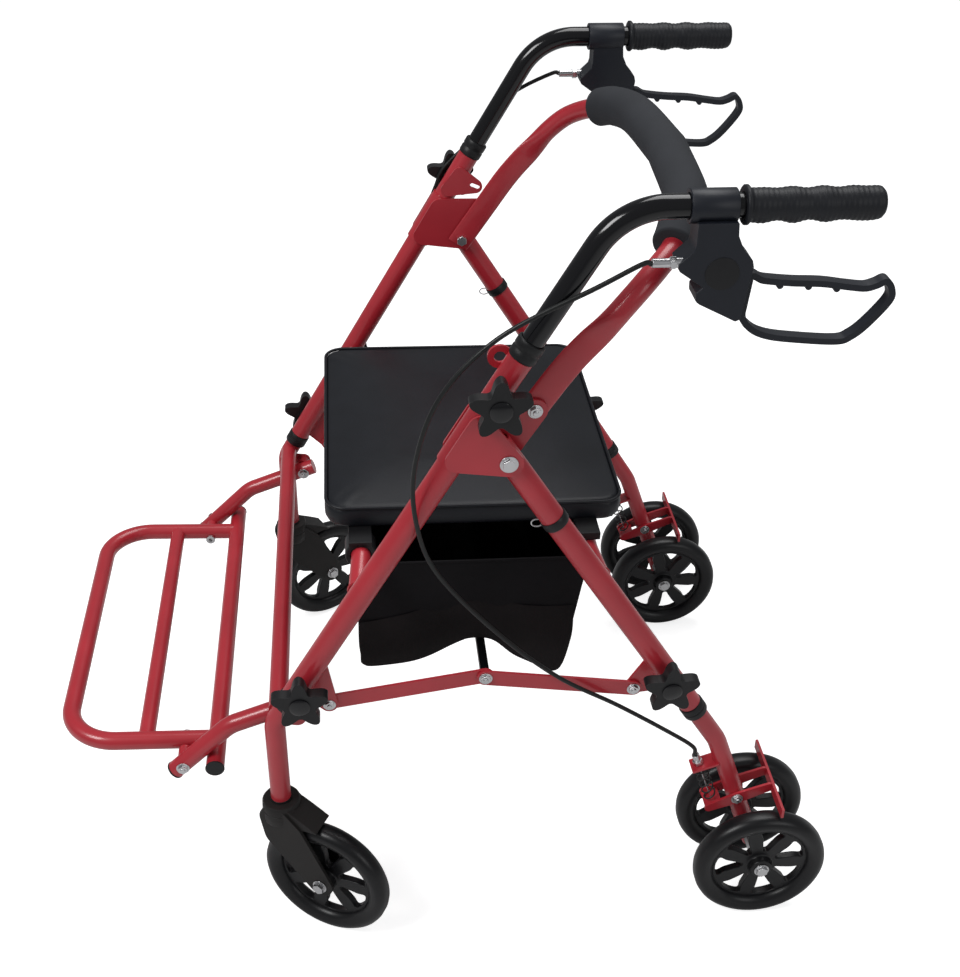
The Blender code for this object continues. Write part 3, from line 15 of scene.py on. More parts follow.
import bmesh
import bpy
from mathutils import Matrix, Vector, noise
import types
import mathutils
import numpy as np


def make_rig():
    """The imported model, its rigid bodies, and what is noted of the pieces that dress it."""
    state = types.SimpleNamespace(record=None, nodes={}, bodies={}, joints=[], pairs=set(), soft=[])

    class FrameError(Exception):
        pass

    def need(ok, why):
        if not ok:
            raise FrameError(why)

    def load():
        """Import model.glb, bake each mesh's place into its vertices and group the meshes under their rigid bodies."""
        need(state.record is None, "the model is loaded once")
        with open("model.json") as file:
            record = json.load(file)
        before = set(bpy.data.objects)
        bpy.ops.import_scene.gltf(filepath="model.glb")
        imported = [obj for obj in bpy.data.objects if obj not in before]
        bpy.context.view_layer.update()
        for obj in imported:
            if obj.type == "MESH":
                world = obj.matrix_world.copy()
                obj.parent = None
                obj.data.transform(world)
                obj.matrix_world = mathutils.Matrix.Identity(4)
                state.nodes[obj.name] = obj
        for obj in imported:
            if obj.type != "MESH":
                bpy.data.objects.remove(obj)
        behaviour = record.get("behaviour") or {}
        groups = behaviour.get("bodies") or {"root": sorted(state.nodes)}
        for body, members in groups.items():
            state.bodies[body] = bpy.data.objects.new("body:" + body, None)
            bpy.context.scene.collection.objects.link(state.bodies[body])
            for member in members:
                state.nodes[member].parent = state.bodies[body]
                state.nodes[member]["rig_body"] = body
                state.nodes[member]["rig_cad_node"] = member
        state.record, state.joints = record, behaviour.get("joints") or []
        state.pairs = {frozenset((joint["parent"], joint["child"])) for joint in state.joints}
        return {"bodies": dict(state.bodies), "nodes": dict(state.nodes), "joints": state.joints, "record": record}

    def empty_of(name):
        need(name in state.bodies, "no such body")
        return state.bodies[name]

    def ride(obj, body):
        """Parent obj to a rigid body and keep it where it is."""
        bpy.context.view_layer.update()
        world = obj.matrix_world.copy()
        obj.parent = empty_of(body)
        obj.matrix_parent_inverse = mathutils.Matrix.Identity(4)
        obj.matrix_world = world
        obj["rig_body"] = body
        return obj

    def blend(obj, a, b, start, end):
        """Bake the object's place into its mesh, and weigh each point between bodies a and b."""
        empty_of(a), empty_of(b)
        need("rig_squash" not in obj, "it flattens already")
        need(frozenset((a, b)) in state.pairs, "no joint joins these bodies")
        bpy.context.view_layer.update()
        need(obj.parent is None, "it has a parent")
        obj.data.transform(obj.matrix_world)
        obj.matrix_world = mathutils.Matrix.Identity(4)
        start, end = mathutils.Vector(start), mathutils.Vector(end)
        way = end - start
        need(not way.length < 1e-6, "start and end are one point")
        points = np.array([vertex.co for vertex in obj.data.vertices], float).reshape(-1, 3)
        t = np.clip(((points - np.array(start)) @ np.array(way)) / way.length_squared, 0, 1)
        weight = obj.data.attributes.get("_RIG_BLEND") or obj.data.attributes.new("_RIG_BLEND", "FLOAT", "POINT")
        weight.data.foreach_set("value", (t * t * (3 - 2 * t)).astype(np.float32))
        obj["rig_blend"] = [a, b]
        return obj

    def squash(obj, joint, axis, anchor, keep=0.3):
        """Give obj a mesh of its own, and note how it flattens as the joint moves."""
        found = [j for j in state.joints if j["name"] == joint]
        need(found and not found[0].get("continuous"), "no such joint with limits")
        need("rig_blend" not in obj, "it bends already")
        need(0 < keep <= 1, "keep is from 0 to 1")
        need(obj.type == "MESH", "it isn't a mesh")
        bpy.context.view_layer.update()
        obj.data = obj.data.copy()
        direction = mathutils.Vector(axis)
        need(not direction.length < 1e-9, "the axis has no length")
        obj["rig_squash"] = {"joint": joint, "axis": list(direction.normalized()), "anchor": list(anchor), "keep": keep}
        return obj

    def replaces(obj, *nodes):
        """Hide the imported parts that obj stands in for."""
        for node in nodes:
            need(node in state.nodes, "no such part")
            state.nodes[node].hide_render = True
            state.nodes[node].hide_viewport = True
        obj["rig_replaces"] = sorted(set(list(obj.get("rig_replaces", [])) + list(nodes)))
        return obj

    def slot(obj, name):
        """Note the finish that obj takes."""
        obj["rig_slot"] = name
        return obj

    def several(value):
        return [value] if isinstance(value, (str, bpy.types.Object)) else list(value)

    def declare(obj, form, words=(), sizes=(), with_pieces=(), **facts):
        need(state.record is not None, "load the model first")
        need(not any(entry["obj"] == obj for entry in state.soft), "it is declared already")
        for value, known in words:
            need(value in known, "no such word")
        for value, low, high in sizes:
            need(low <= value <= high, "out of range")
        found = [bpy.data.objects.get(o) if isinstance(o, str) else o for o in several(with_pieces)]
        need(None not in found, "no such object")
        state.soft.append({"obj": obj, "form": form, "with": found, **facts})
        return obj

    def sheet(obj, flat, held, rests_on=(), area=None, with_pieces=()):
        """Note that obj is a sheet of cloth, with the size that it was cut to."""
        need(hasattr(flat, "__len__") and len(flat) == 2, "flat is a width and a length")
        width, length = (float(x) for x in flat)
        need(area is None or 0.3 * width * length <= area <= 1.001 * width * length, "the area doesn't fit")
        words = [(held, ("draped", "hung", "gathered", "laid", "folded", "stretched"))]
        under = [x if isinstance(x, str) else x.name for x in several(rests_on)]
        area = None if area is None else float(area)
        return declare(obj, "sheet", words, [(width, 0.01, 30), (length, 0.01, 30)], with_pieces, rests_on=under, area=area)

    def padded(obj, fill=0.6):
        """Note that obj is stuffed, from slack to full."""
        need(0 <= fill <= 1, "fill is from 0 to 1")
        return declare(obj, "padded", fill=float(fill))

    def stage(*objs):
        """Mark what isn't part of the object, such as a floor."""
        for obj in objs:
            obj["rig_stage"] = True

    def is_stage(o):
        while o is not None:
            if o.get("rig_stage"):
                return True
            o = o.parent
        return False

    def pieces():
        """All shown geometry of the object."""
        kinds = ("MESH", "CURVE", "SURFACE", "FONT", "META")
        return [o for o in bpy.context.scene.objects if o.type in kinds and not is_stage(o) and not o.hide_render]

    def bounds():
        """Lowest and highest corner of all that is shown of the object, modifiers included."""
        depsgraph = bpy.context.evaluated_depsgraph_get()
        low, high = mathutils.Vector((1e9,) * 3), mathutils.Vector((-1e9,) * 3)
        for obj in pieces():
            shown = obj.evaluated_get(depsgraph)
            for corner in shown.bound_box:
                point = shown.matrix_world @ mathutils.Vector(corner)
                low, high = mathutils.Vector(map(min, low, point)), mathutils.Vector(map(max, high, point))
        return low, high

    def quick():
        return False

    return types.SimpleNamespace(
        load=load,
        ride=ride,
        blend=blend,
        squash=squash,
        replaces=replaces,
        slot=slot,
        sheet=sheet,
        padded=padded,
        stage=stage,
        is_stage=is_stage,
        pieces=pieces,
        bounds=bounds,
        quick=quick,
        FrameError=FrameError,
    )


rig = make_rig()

LOG = logging.getLogger("rollator")
GAP = 0.0003


class Grain(Enum):
    """The small relief of a surface."""

    PAINT = "paint"
    MOULDED = "moulded"
    LEATHER = "leather"
    WEAVE = "weave"
    FOAM = "foam"
    METAL = "metal"


class Side(Enum):
    """The two sides of the chair, with their sign along X."""

    LEFT = 1
    RIGHT = -1

    @property
    def tag(self) -> str:
        """The side's name in lower case."""
        return self.name.lower()


@dataclass(frozen=True)
class Finish:
    """A surface finish, built as a node material on Object coordinates."""

    name: str
    slot: str
    colour: tuple[float, float, float]
    roughness: float
    grain: Grain
    metallic: float = 0.0
    coat: float = 0.0
    scale: float = 400.0
    depth: float = 0.00015
    variation: float = 0.12
    specular: float = 0.5

    def material(self) -> bpy.types.Material:
        """The finish's material, made once and then shared.

        Returns:
            The node material.
        """
        found = bpy.data.materials.get(self.name)
        if found:
            return found
        made = bpy.data.materials.new(self.name)
        made.use_nodes = True
        nodes = made.node_tree.nodes
        shader = nodes["Principled BSDF"]
        shader.inputs["Metallic"].default_value = self.metallic
        shader.inputs["Coat Weight"].default_value = self.coat
        shader.inputs["Coat Roughness"].default_value = 0.12
        shader.inputs["Specular IOR Level"].default_value = self.specular
        place = nodes.new("ShaderNodeTexCoord")
        self._colour(made.node_tree, place, shader)
        self._relief(made.node_tree, place, shader)
        return made

    def _colour(self, tree: bpy.types.NodeTree, place: bpy.types.Node, shader: bpy.types.Node) -> None:
        """Broad colour and gloss variation.

        Args:
            tree: The material's node tree.
            place: The texture coordinate node.
            shader: The Principled node.
        """
        cloud = tree.nodes.new("ShaderNodeTexNoise")
        cloud.inputs["Scale"].default_value = 18.0
        cloud.inputs["Detail"].default_value = 6.0
        tree.links.new(place.outputs["Object"], cloud.inputs["Vector"])
        ramp = tree.nodes.new("ShaderNodeValToRGB")
        low, high = 1.0 - self.variation, 1.0 + self.variation
        ramp.color_ramp.elements[0].position = 0.3
        ramp.color_ramp.elements[0].color = (*[c * low for c in self.colour], 1.0)
        ramp.color_ramp.elements[1].position = 0.7
        ramp.color_ramp.elements[1].color = (*[min(1.0, c * high) for c in self.colour], 1.0)
        tree.links.new(cloud.outputs["Fac"], ramp.inputs["Fac"])
        tree.links.new(ramp.outputs["Color"], shader.inputs["Base Color"])
        gloss = tree.nodes.new("ShaderNodeMapRange")
        gloss.inputs["To Min"].default_value = self.roughness * 0.85
        gloss.inputs["To Max"].default_value = min(1.0, self.roughness * 1.15)
        tree.links.new(cloud.outputs["Fac"], gloss.inputs["Value"])
        tree.links.new(gloss.outputs["Result"], shader.inputs["Roughness"])

    def _relief(self, tree: bpy.types.NodeTree, place: bpy.types.Node, shader: bpy.types.Node) -> None:
        """Fine relief for the grain.

        Args:
            tree: The material's node tree.
            place: The texture coordinate node.
            shader: The Principled node.
        """
        bump = tree.nodes.new("ShaderNodeBump")
        bump.inputs["Distance"].default_value = self.depth
        bump.inputs["Strength"].default_value = 0.6
        if self.grain is Grain.LEATHER:
            cells = tree.nodes.new("ShaderNodeTexVoronoi")
            cells.feature = "DISTANCE_TO_EDGE"
            cells.inputs["Scale"].default_value = self.scale
            source = cells.outputs["Distance"]
            tree.links.new(place.outputs["Object"], cells.inputs["Vector"])
        elif self.grain is Grain.WEAVE:
            source = self._weave(tree, place)
        else:
            speck = tree.nodes.new("ShaderNodeTexNoise")
            speck.inputs["Scale"].default_value = self.scale
            speck.inputs["Detail"].default_value = 3.0
            source = speck.outputs["Fac"]
            tree.links.new(place.outputs["Object"], speck.inputs["Vector"])
        tree.links.new(source, bump.inputs["Height"])
        tree.links.new(bump.outputs["Normal"], shader.inputs["Normal"])

    def _weave(self, tree: bpy.types.NodeTree, place: bpy.types.Node) -> bpy.types.NodeSocket:
        """Two crossed bands of threads.

        Args:
            tree: The material's node tree.
            place: The texture coordinate node.

        Returns:
            The height socket of the weave.
        """
        waves = []
        for direction in ("Y", "Z"):
            band = tree.nodes.new("ShaderNodeTexWave")
            band.bands_direction = direction
            band.inputs["Scale"].default_value = self.scale
            band.inputs["Distortion"].default_value = 0.4
            tree.links.new(place.outputs["Object"], band.inputs["Vector"])
            waves.append(band)
        mix = tree.nodes.new("ShaderNodeMath")
        mix.operation = "MAXIMUM"
        tree.links.new(waves[0].outputs["Fac"], mix.inputs[0])
        tree.links.new(waves[1].outputs["Fac"], mix.inputs[1])
        return mix.outputs["Value"]


RED = Finish("powder_coat_red", "red_paint", (0.44, 0.022, 0.034), 0.33, Grain.PAINT, coat=0.35,
             scale=900.0, depth=0.00003, variation=0.08)
BLACK = Finish("moulded_black", "black_plastic", (0.010, 0.010, 0.011), 0.42, Grain.MOULDED, scale=1400.0,
               depth=0.00005, specular=0.32)
GLOSS = Finish("gloss_black_tube", "black_gloss", (0.004, 0.004, 0.005), 0.14, Grain.PAINT, coat=0.25,
               scale=300.0, depth=0.00001, specular=0.35)
ZINC = Finish("zinc_plate", "zinc", (0.62, 0.62, 0.63), 0.28, Grain.METAL, 1.0, scale=700.0, depth=0.00003)
FOAM = Finish("sleeve_foam", "foam", (0.030, 0.032, 0.037), 0.92, Grain.FOAM, scale=1100.0, depth=0.0003,
              specular=0.3)
TYRE = Finish("wheel_black", "wheel", (0.007, 0.007, 0.008), 0.34, Grain.MOULDED, scale=500.0, depth=0.00006,
              specular=0.34)
FORK = Finish("fork_black", "fork_plastic", (0.013, 0.0115, 0.011), 0.55, Grain.MOULDED, scale=900.0,
              depth=0.00012, specular=0.3)
VINYL = Finish("seat_vinyl", "vinyl", (0.007, 0.008, 0.011), 0.42, Grain.LEATHER, scale=520.0, depth=0.00016,
               variation=0.2, specular=0.30)
GRIP = Finish("grip_black", "grip_rubber", (0.009, 0.010, 0.013), 0.5, Grain.LEATHER, scale=420.0,
              depth=0.0002, specular=0.32)
HOUSING = Finish("housing_black", "housing_plastic", (0.010, 0.012, 0.018), 0.44, Grain.MOULDED, scale=1200.0,
                 depth=0.00008, specular=0.36)
NYLON = Finish("bag_nylon", "nylon", (0.0048, 0.0042, 0.0052), 0.66, Grain.WEAVE, scale=260.0, depth=0.00025,
               variation=0.3, specular=0.14)
POUCH = Finish("pouch_nylon", "nylon", (0.0085, 0.0068, 0.0072), 0.70, Grain.WEAVE, scale=220.0, depth=0.0003,
               variation=0.35, specular=0.14)
SHEATH = Finish("cable_black", "cable_sheath", (0.009, 0.010, 0.010), 0.38, Grain.MOULDED, scale=800.0,
                depth=0.00004, specular=0.35)
SPRING = Finish("spring_black", "spring_black", (0.03, 0.03, 0.03), 0.35, Grain.METAL, 0.8, scale=900.0,
                depth=0.00003)


def at(side: Side, x: float, point: Sequence[float]) -> Vector:
    """World place of a side-view point on one side of the chair."""
    return Vector((side.value * x, point[0], point[1]))


def rounded(points: Sequence[Vector], radius: float, steps: int = 8) -> list[Vector]:
    """A route whose inner corners are arcs.

    Args:
        points: The corners of the route.
        radius: The bend radius.
        steps: Steps in each arc.

    Returns:
        The points of the route.
    """
    route = [points[0]]
    for before, corner, after in zip(points, points[1:], points[2:]):
        back = (before - corner).normalized()
        ahead = (after - corner).normalized()
        half = back.angle(ahead) / 2
        reach = min(radius / math.tan(half), (before - corner).length * 0.49, (after - corner).length * 0.49)
        centre = corner + (back + ahead).normalized() * (reach / math.cos(half))
        first = corner + back * reach - centre
        last = corner + ahead * reach - centre
        for step in range(steps + 1):
            turn = first.slerp(last, step / steps).normalized()
            route.append(centre + turn * first.length)
    route.append(points[-1])
    return route


def smooth(points: Sequence[Vector], per: int = 6, closed: bool = False) -> list[Vector]:
    """A smooth curve through points.

    Args:
        points: The points the curve goes through.
        per: Steps between two of them.
        closed: Whether the curve closes on itself.

    Returns:
        The points of the curve.
    """
    total = len(points)
    ends = ([points[-1], *points, points[0], points[1]] if closed
            else [2 * points[0] - points[1], *points, 2 * points[-1] - points[-2]])
    made = []
    for index in range(total if closed else total - 1):
        a, b, c, d = ends[index:index + 4]
        for step in range(per):
            t = step / per
            made.append(0.5 * ((2 * b) + (c - a) * t + (2 * a - 5 * b + 4 * c - d) * t * t
                               + (3 * b - a - 3 * c + d) * t ** 3))
    if not closed:
        made.append(points[-1].copy())
    return made


def circle(centre: Sequence[float], radius: float, count: int = 24) -> list[Vector]:
    """Points of a circle in the side view."""
    return [Vector((centre[0] + radius * math.cos(math.tau * i / count),
                    centre[1] + radius * math.sin(math.tau * i / count))) for i in range(count)]


def wrapped(circles: Iterable[tuple[Vector, float]]) -> list[Vector]:
    """The outline of a band drawn tight round circles.

    Args:
        circles: Pairs of a centre and a radius.

    Returns:
        The outline's points, in order.
    """
    cloud = sorted({(round(p.x, 7), round(p.y, 7)) for centre, radius in circles
                    for p in circle(centre, radius, 36)})

    def half(points: list[tuple[float, float]]) -> list[tuple[float, float]]:
        """One side of the tight band."""
        chain: list[tuple[float, float]] = []
        for p in points:
            while len(chain) > 1:
                (ax, ay), (bx, by) = chain[-2], chain[-1]
                if (bx - ax) * (p[1] - ay) - (by - ay) * (p[0] - ax) > 1e-12:
                    break
                chain.pop()
            chain.append(p)
        return chain[:-1]

    return [Vector(p) for p in half(cloud) + half(cloud[::-1])]


def facing(start: Vector, end: Vector) -> Matrix:
    """Placement with local Z from one point towards another."""
    return Matrix.Translation(start) @ (end - start).to_track_quat("Z", "Y").to_matrix().to_4x4()


class Shape:
    """A mesh being modelled with bmesh operators, then dressed and mounted."""

    def __init__(self) -> None:
        """Starts with nothing."""
        self.work = bmesh.new()

    def rod(self, start: Vector, end: Vector, radius: float, sides: int = 32,
            end_radius: float | None = None) -> "Shape":
        """Adds a straight round bar or cone.

        Args:
            start: One end.
            end: The other end.
            radius: Radius at the start.
            sides: Facets round the bar.
            end_radius: Radius at the end, where it differs.

        Returns:
            The shape itself.
        """
        top = radius if end_radius is None else end_radius
        turn = (end - start).to_track_quat("Z", "Y").to_matrix().to_4x4()
        bmesh.ops.create_cone(self.work, cap_ends=True, segments=sides, radius1=radius, radius2=top,
                              depth=(end - start).length, matrix=Matrix.Translation((start + end) / 2) @ turn)
        return self

    def across(self, side: Side, point: Sequence[float], x_from: float, x_to: float, radius: float,
               sides: int = 32) -> "Shape":
        """Adds a round bar along X at a side-view point."""
        return self.rod(at(side, x_from, point), at(side, x_to, point), radius, sides)

    def sweep(self, path: Sequence[Vector], radius: float, sides: int = 28,
              stretch: tuple[float, float] = (1.0, 1.0), closed: bool = False, up: Vector | None = None) -> "Shape":
        """Adds a bar along a route, by extruding a ring from point to point.

        Args:
            path: The route.
            radius: Radius of the bar.
            sides: Facets round the bar.
            stretch: Scale of the ring along its two axes.
            closed: Whether the route closes on itself.
            up: A direction that the ring's first axis keeps to.

        Returns:
            The shape itself.
        """
        frames = self._frames(path, stretch, closed, up)
        made = bmesh.ops.create_circle(self.work, cap_ends=False, segments=sides, radius=radius, matrix=frames[0])
        first = ring = list({e for v in made["verts"] for e in v.link_edges})
        verts = made["verts"]
        for before, after in zip(frames, frames[1:]):
            grown = bmesh.ops.extrude_edge_only(self.work, edges=ring)["geom"]
            verts = [g for g in grown if isinstance(g, bmesh.types.BMVert)]
            ring = [g for g in grown if isinstance(g, bmesh.types.BMEdge)]
            bmesh.ops.transform(self.work, matrix=after @ before.inverted(), verts=verts)
        if closed:
            bmesh.ops.bridge_loops(self.work, edges=ring + first)
        else:
            bmesh.ops.holes_fill(self.work, edges=ring + first, sides=sides)
        return self

    @staticmethod
    def _frames(path: Sequence[Vector], stretch: tuple[float, float], closed: bool,
                up: Vector | None) -> list[Matrix]:
        """Placements along a route, with as little twist as the route allows."""
        total = len(path)
        frames = []
        across = None
        for index, point in enumerate(path):
            if closed:
                ahead = path[(index + 1) % total] - path[index - 1]
            else:
                ahead = path[min(index + 1, total - 1)] - path[max(index - 1, 0)]
            ahead = ahead.normalized()
            if up is not None:
                across = up
            elif across is None:
                across = Vector((1, 0, 0)) if abs(ahead.x) < 0.9 else Vector((0, 0, 1))
            across = (across - ahead * across.dot(ahead)).normalized()
            other = ahead.cross(across)
            frames.append(Matrix.Translation(point) @ Matrix((
                (across.x * stretch[0], other.x * stretch[1], ahead.x, 0),
                (across.y * stretch[0], other.y * stretch[1], ahead.y, 0),
                (across.z * stretch[0], other.z * stretch[1], ahead.z, 0), (0, 0, 0, 1))))
        return frames

    def flat(self, loops: Sequence[Sequence[Vector]], place: Matrix, thickness: float) -> "Shape":
        """Adds a flat shape with holes, drawn in local XY and centred on it.

        Args:
            loops: The outline, then its holes.
            place: Where local XY lies.
            thickness: The plate's thickness.

        Returns:
            The shape itself.
        """
        edges = []
        for loop in loops:
            verts = [self.work.verts.new(place @ Vector((p[0], p[1], -thickness / 2))) for p in loop]
            edges += [self.work.edges.new((verts[i - 1], verts[i])) for i in range(len(verts))]
        cap = bmesh.ops.triangle_fill(self.work, use_beauty=True, edges=edges)["geom"]
        faces = [g for g in cap if isinstance(g, bmesh.types.BMFace)]
        grown = bmesh.ops.extrude_face_region(self.work, geom=faces, use_keep_orig=True)["geom"]
        lift = place.to_3x3() @ Vector((0, 0, thickness))
        bmesh.ops.translate(self.work, vec=lift, verts=[g for g in grown if isinstance(g, bmesh.types.BMVert)])
        return self

    def plate(self, loops: Sequence[Sequence[Vector]], x: float, thickness: float) -> "Shape":
        """Adds a plate that stands in a side plane, centred on x."""
        place = Matrix(((0, 0, 1, x), (1, 0, 0, 0), (0, 1, 0, 0), (0, 0, 0, 1)))
        return self.flat(loops, place, thickness)

    def box(self, low: Sequence[float], high: Sequence[float], turn: Matrix | None = None) -> "Shape":
        """Adds a box between two corners."""
        low, high = Vector(low), Vector(high)
        size = [abs(v) for v in high - low]
        place = Matrix.Translation((low + high) / 2) @ Matrix.Diagonal((*size, 1.0))
        bmesh.ops.create_cube(self.work, size=1.0, matrix=(turn or Matrix.Identity(4)) @ place)
        return self

    def turned(self, profile: Sequence[tuple[float, float]], place: Matrix, steps: int = 64,
               closed: bool = True) -> "Shape":
        """Adds a turned body round local Z.

        Args:
            profile: Points as (radius, height).
            place: Placement of the axis.
            steps: Steps of the full turn.
            closed: Whether the profile is a closed loop.

        Returns:
            The shape itself.
        """
        verts = [self.work.verts.new(place @ Vector((radius, 0.0, height))) for radius, height in profile]
        pairs = list(zip(verts, verts[1:] + verts[:1])) if closed else list(zip(verts, verts[1:]))
        edges = [self.work.edges.new(pair) for pair in pairs]
        axis = place.to_3x3() @ Vector((0, 0, 1))
        bmesh.ops.spin(self.work, geom=verts + edges, cent=place.translation, axis=axis, dvec=(0, 0, 0),
                       angle=math.tau, steps=steps, use_merge=True, use_duplicate=False)
        bmesh.ops.remove_doubles(self.work, verts=self.work.verts, dist=0.000002)
        return self

    def piece(self, name: str, finish: Finish, body: str, nodes: Sequence[str] = (), bevel: float = 0.0,
              levels: int = 0, angle: float = 38.0) -> bpy.types.Object:
        """Ends the shape as a dressed piece that rides on a body.

        Args:
            name: Name of the piece.
            finish: Its finish.
            body: The body it moves with.
            nodes: CAD nodes that it stands for.
            bevel: Width of rounded edges.
            levels: Levels of subdivision.
            angle: Smoothing angle in degrees.

        Returns:
            The finished object.
        """
        bmesh.ops.recalc_face_normals(self.work, faces=self.work.faces)
        mesh = bpy.data.meshes.new(name)
        self.work.to_mesh(mesh)
        self.work.free()
        item = bpy.data.objects.new(name, mesh)
        bpy.context.scene.collection.objects.link(item)
        mesh.materials.append(finish.material())
        mesh.shade_smooth()
        mesh.set_sharp_from_angle(angle=math.radians(angle))
        if bevel:
            edge = item.modifiers.new("edge", "BEVEL")
            edge.width = bevel
            edge.segments = 2
            edge.limit_method = "ANGLE"
            edge.angle_limit = math.radians(angle)
            edge.harden_normals = True
        if levels:
            finer = item.modifiers.new("finer", "SUBSURF")
            finer.levels = finer.render_levels = levels
        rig.ride(item, body)
        if nodes:
            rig.replaces(item, *nodes)
        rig.slot(item, finish.slot)
        LOG.info("made %s", name)
        return item


LEG_X, LEG_R, HANDLE_R = 0.262, 0.0125, 0.011
FRONT_TOP, FRONT_END = Vector((0.064, 0.707)), Vector((-0.1605, 0.321))
FRONT_UP = (FRONT_TOP - FRONT_END).normalized()
FRONT_LENGTH = (FRONT_TOP - FRONT_END).length
PIVOT, REAR_CORNER, REAR_HUB = Vector((0.0545, 0.605)), Vector((0.2965, 0.226)), Vector((0.3515, 0.075))
REAR_DOWN = (REAR_CORNER - PIVOT).normalized()
INSERT_DOWN = (REAR_HUB - REAR_CORNER).normalized()
INSERT_FORWARD = Vector((INSERT_DOWN.y, -INSERT_DOWN.x))
REAR_TUBE = 0.383
ARM_BOLT, CHEEK = Vector((0.081, 0.644)), 0.0026
SPREAD_A, SPREAD_B, SPREAD_C = Vector((-0.1235, 0.306)), Vector((0.1975, 0.306)), Vector((0.0395, 0.331))
FRONT_LINK_X, REAR_LINK_X = 0.2573, 0.2606
WHEEL_R, RIM_R, WINDOWS = 0.075, 0.0540, 7
BRAKE_ALONG, BRAKE_OFFSET, BRACKET_ALONG = 0.0868, 0.0275, 0.029
HANDLE_TOP_Z, HANDLE_END_Y = 0.8475, 0.368
HANDLE_CORNER = FRONT_TOP + FRONT_UP * ((HANDLE_TOP_Z - FRONT_TOP.y) / FRONT_UP.y)
GRIP_FROM_Y, GRIP_TO_Y = 0.249, 0.3725
FRONT_SEAT_TUBE, REAR_SEAT_TUBE = Vector((-0.085, 0.453)), Vector((0.150, 0.4497))


def on_front(distance: float) -> Vector:
    """A side-view point on the front leg's axis, down from its top."""
    return FRONT_TOP - FRONT_UP * distance


def on_rear(distance: float) -> Vector:
    """A side-view point on the rear leg's axis, down from the pivot."""
    return PIVOT + REAR_DOWN * distance


def on_insert(along: float, forward: float = 0.0) -> Vector:
    """A side-view point beside the rear insert, down from its corner."""
    return REAR_CORNER + INSERT_DOWN * along + INSERT_FORWARD * forward


def pipe(shape: Shape, start: Vector, end: Vector, outer: float, inner: float) -> None:
    """Adds an open pipe to a shape.

    Args:
        shape: The shape that gets the pipe.
        start: One end of its axis.
        end: The other end.
        outer: Outer radius.
        inner: Bore radius.
    """
    length = (end - start).length
    shape.turned([(inner, 0.0), (outer, 0.0), (outer, length), (inner, length)], facing(start, end), 40)


def ring(name: str, body: str, start: Vector, end: Vector, outer: float, inner: float, finish: Finish,
         nodes: Sequence[str]) -> bpy.types.Object:
    """A collar with rolled edges and a shallow groove round its middle."""
    length = (end - start).length
    edge = 0.0016
    profile = [(inner, 0.0), (outer - edge, 0.0), (outer - 0.0004, 0.0005), (outer, edge),
               (outer, length * 0.42), (outer - 0.0006, length * 0.46), (outer - 0.0006, length * 0.54),
               (outer, length * 0.58), (outer, length - edge), (outer - 0.0004, length - 0.0005),
               (outer - edge, length), (inner, length)]
    shape = Shape().turned(profile, facing(start, end), 56)
    return shape.piece(name, finish, body, nodes)


def bolt(name: str, body: str, spot: Vector, axis: Vector, radius: float = 0.0058, height: float = 0.004) -> None:
    """A hexagon head with its washer and a rounded end.

    Args:
        name: Name of the piece.
        body: The body it moves with.
        spot: Centre of its seat.
        axis: Direction it stands out in.
        radius: Radius of the head.
        height: Height of the head.
    """
    ahead = axis.normalized()
    shape = Shape()
    shape.turned([(0.0, 0.0), (radius * 1.3, 0.0), (radius * 1.3, 0.0009), (0.0, 0.0009)],
                 facing(spot, spot + ahead), 32, closed=False)
    shape.rod(spot + ahead * 0.0009, spot + ahead * height, radius, 6)
    shape.turned([(0.0, height - 0.0002), (radius * 0.52, height - 0.0002), (radius * 0.46, height + 0.0012),
                  (0.0, height + 0.0018)], facing(spot, spot + ahead), 24, closed=False)
    shape.piece(name, ZINC, body, bevel=0.0004)


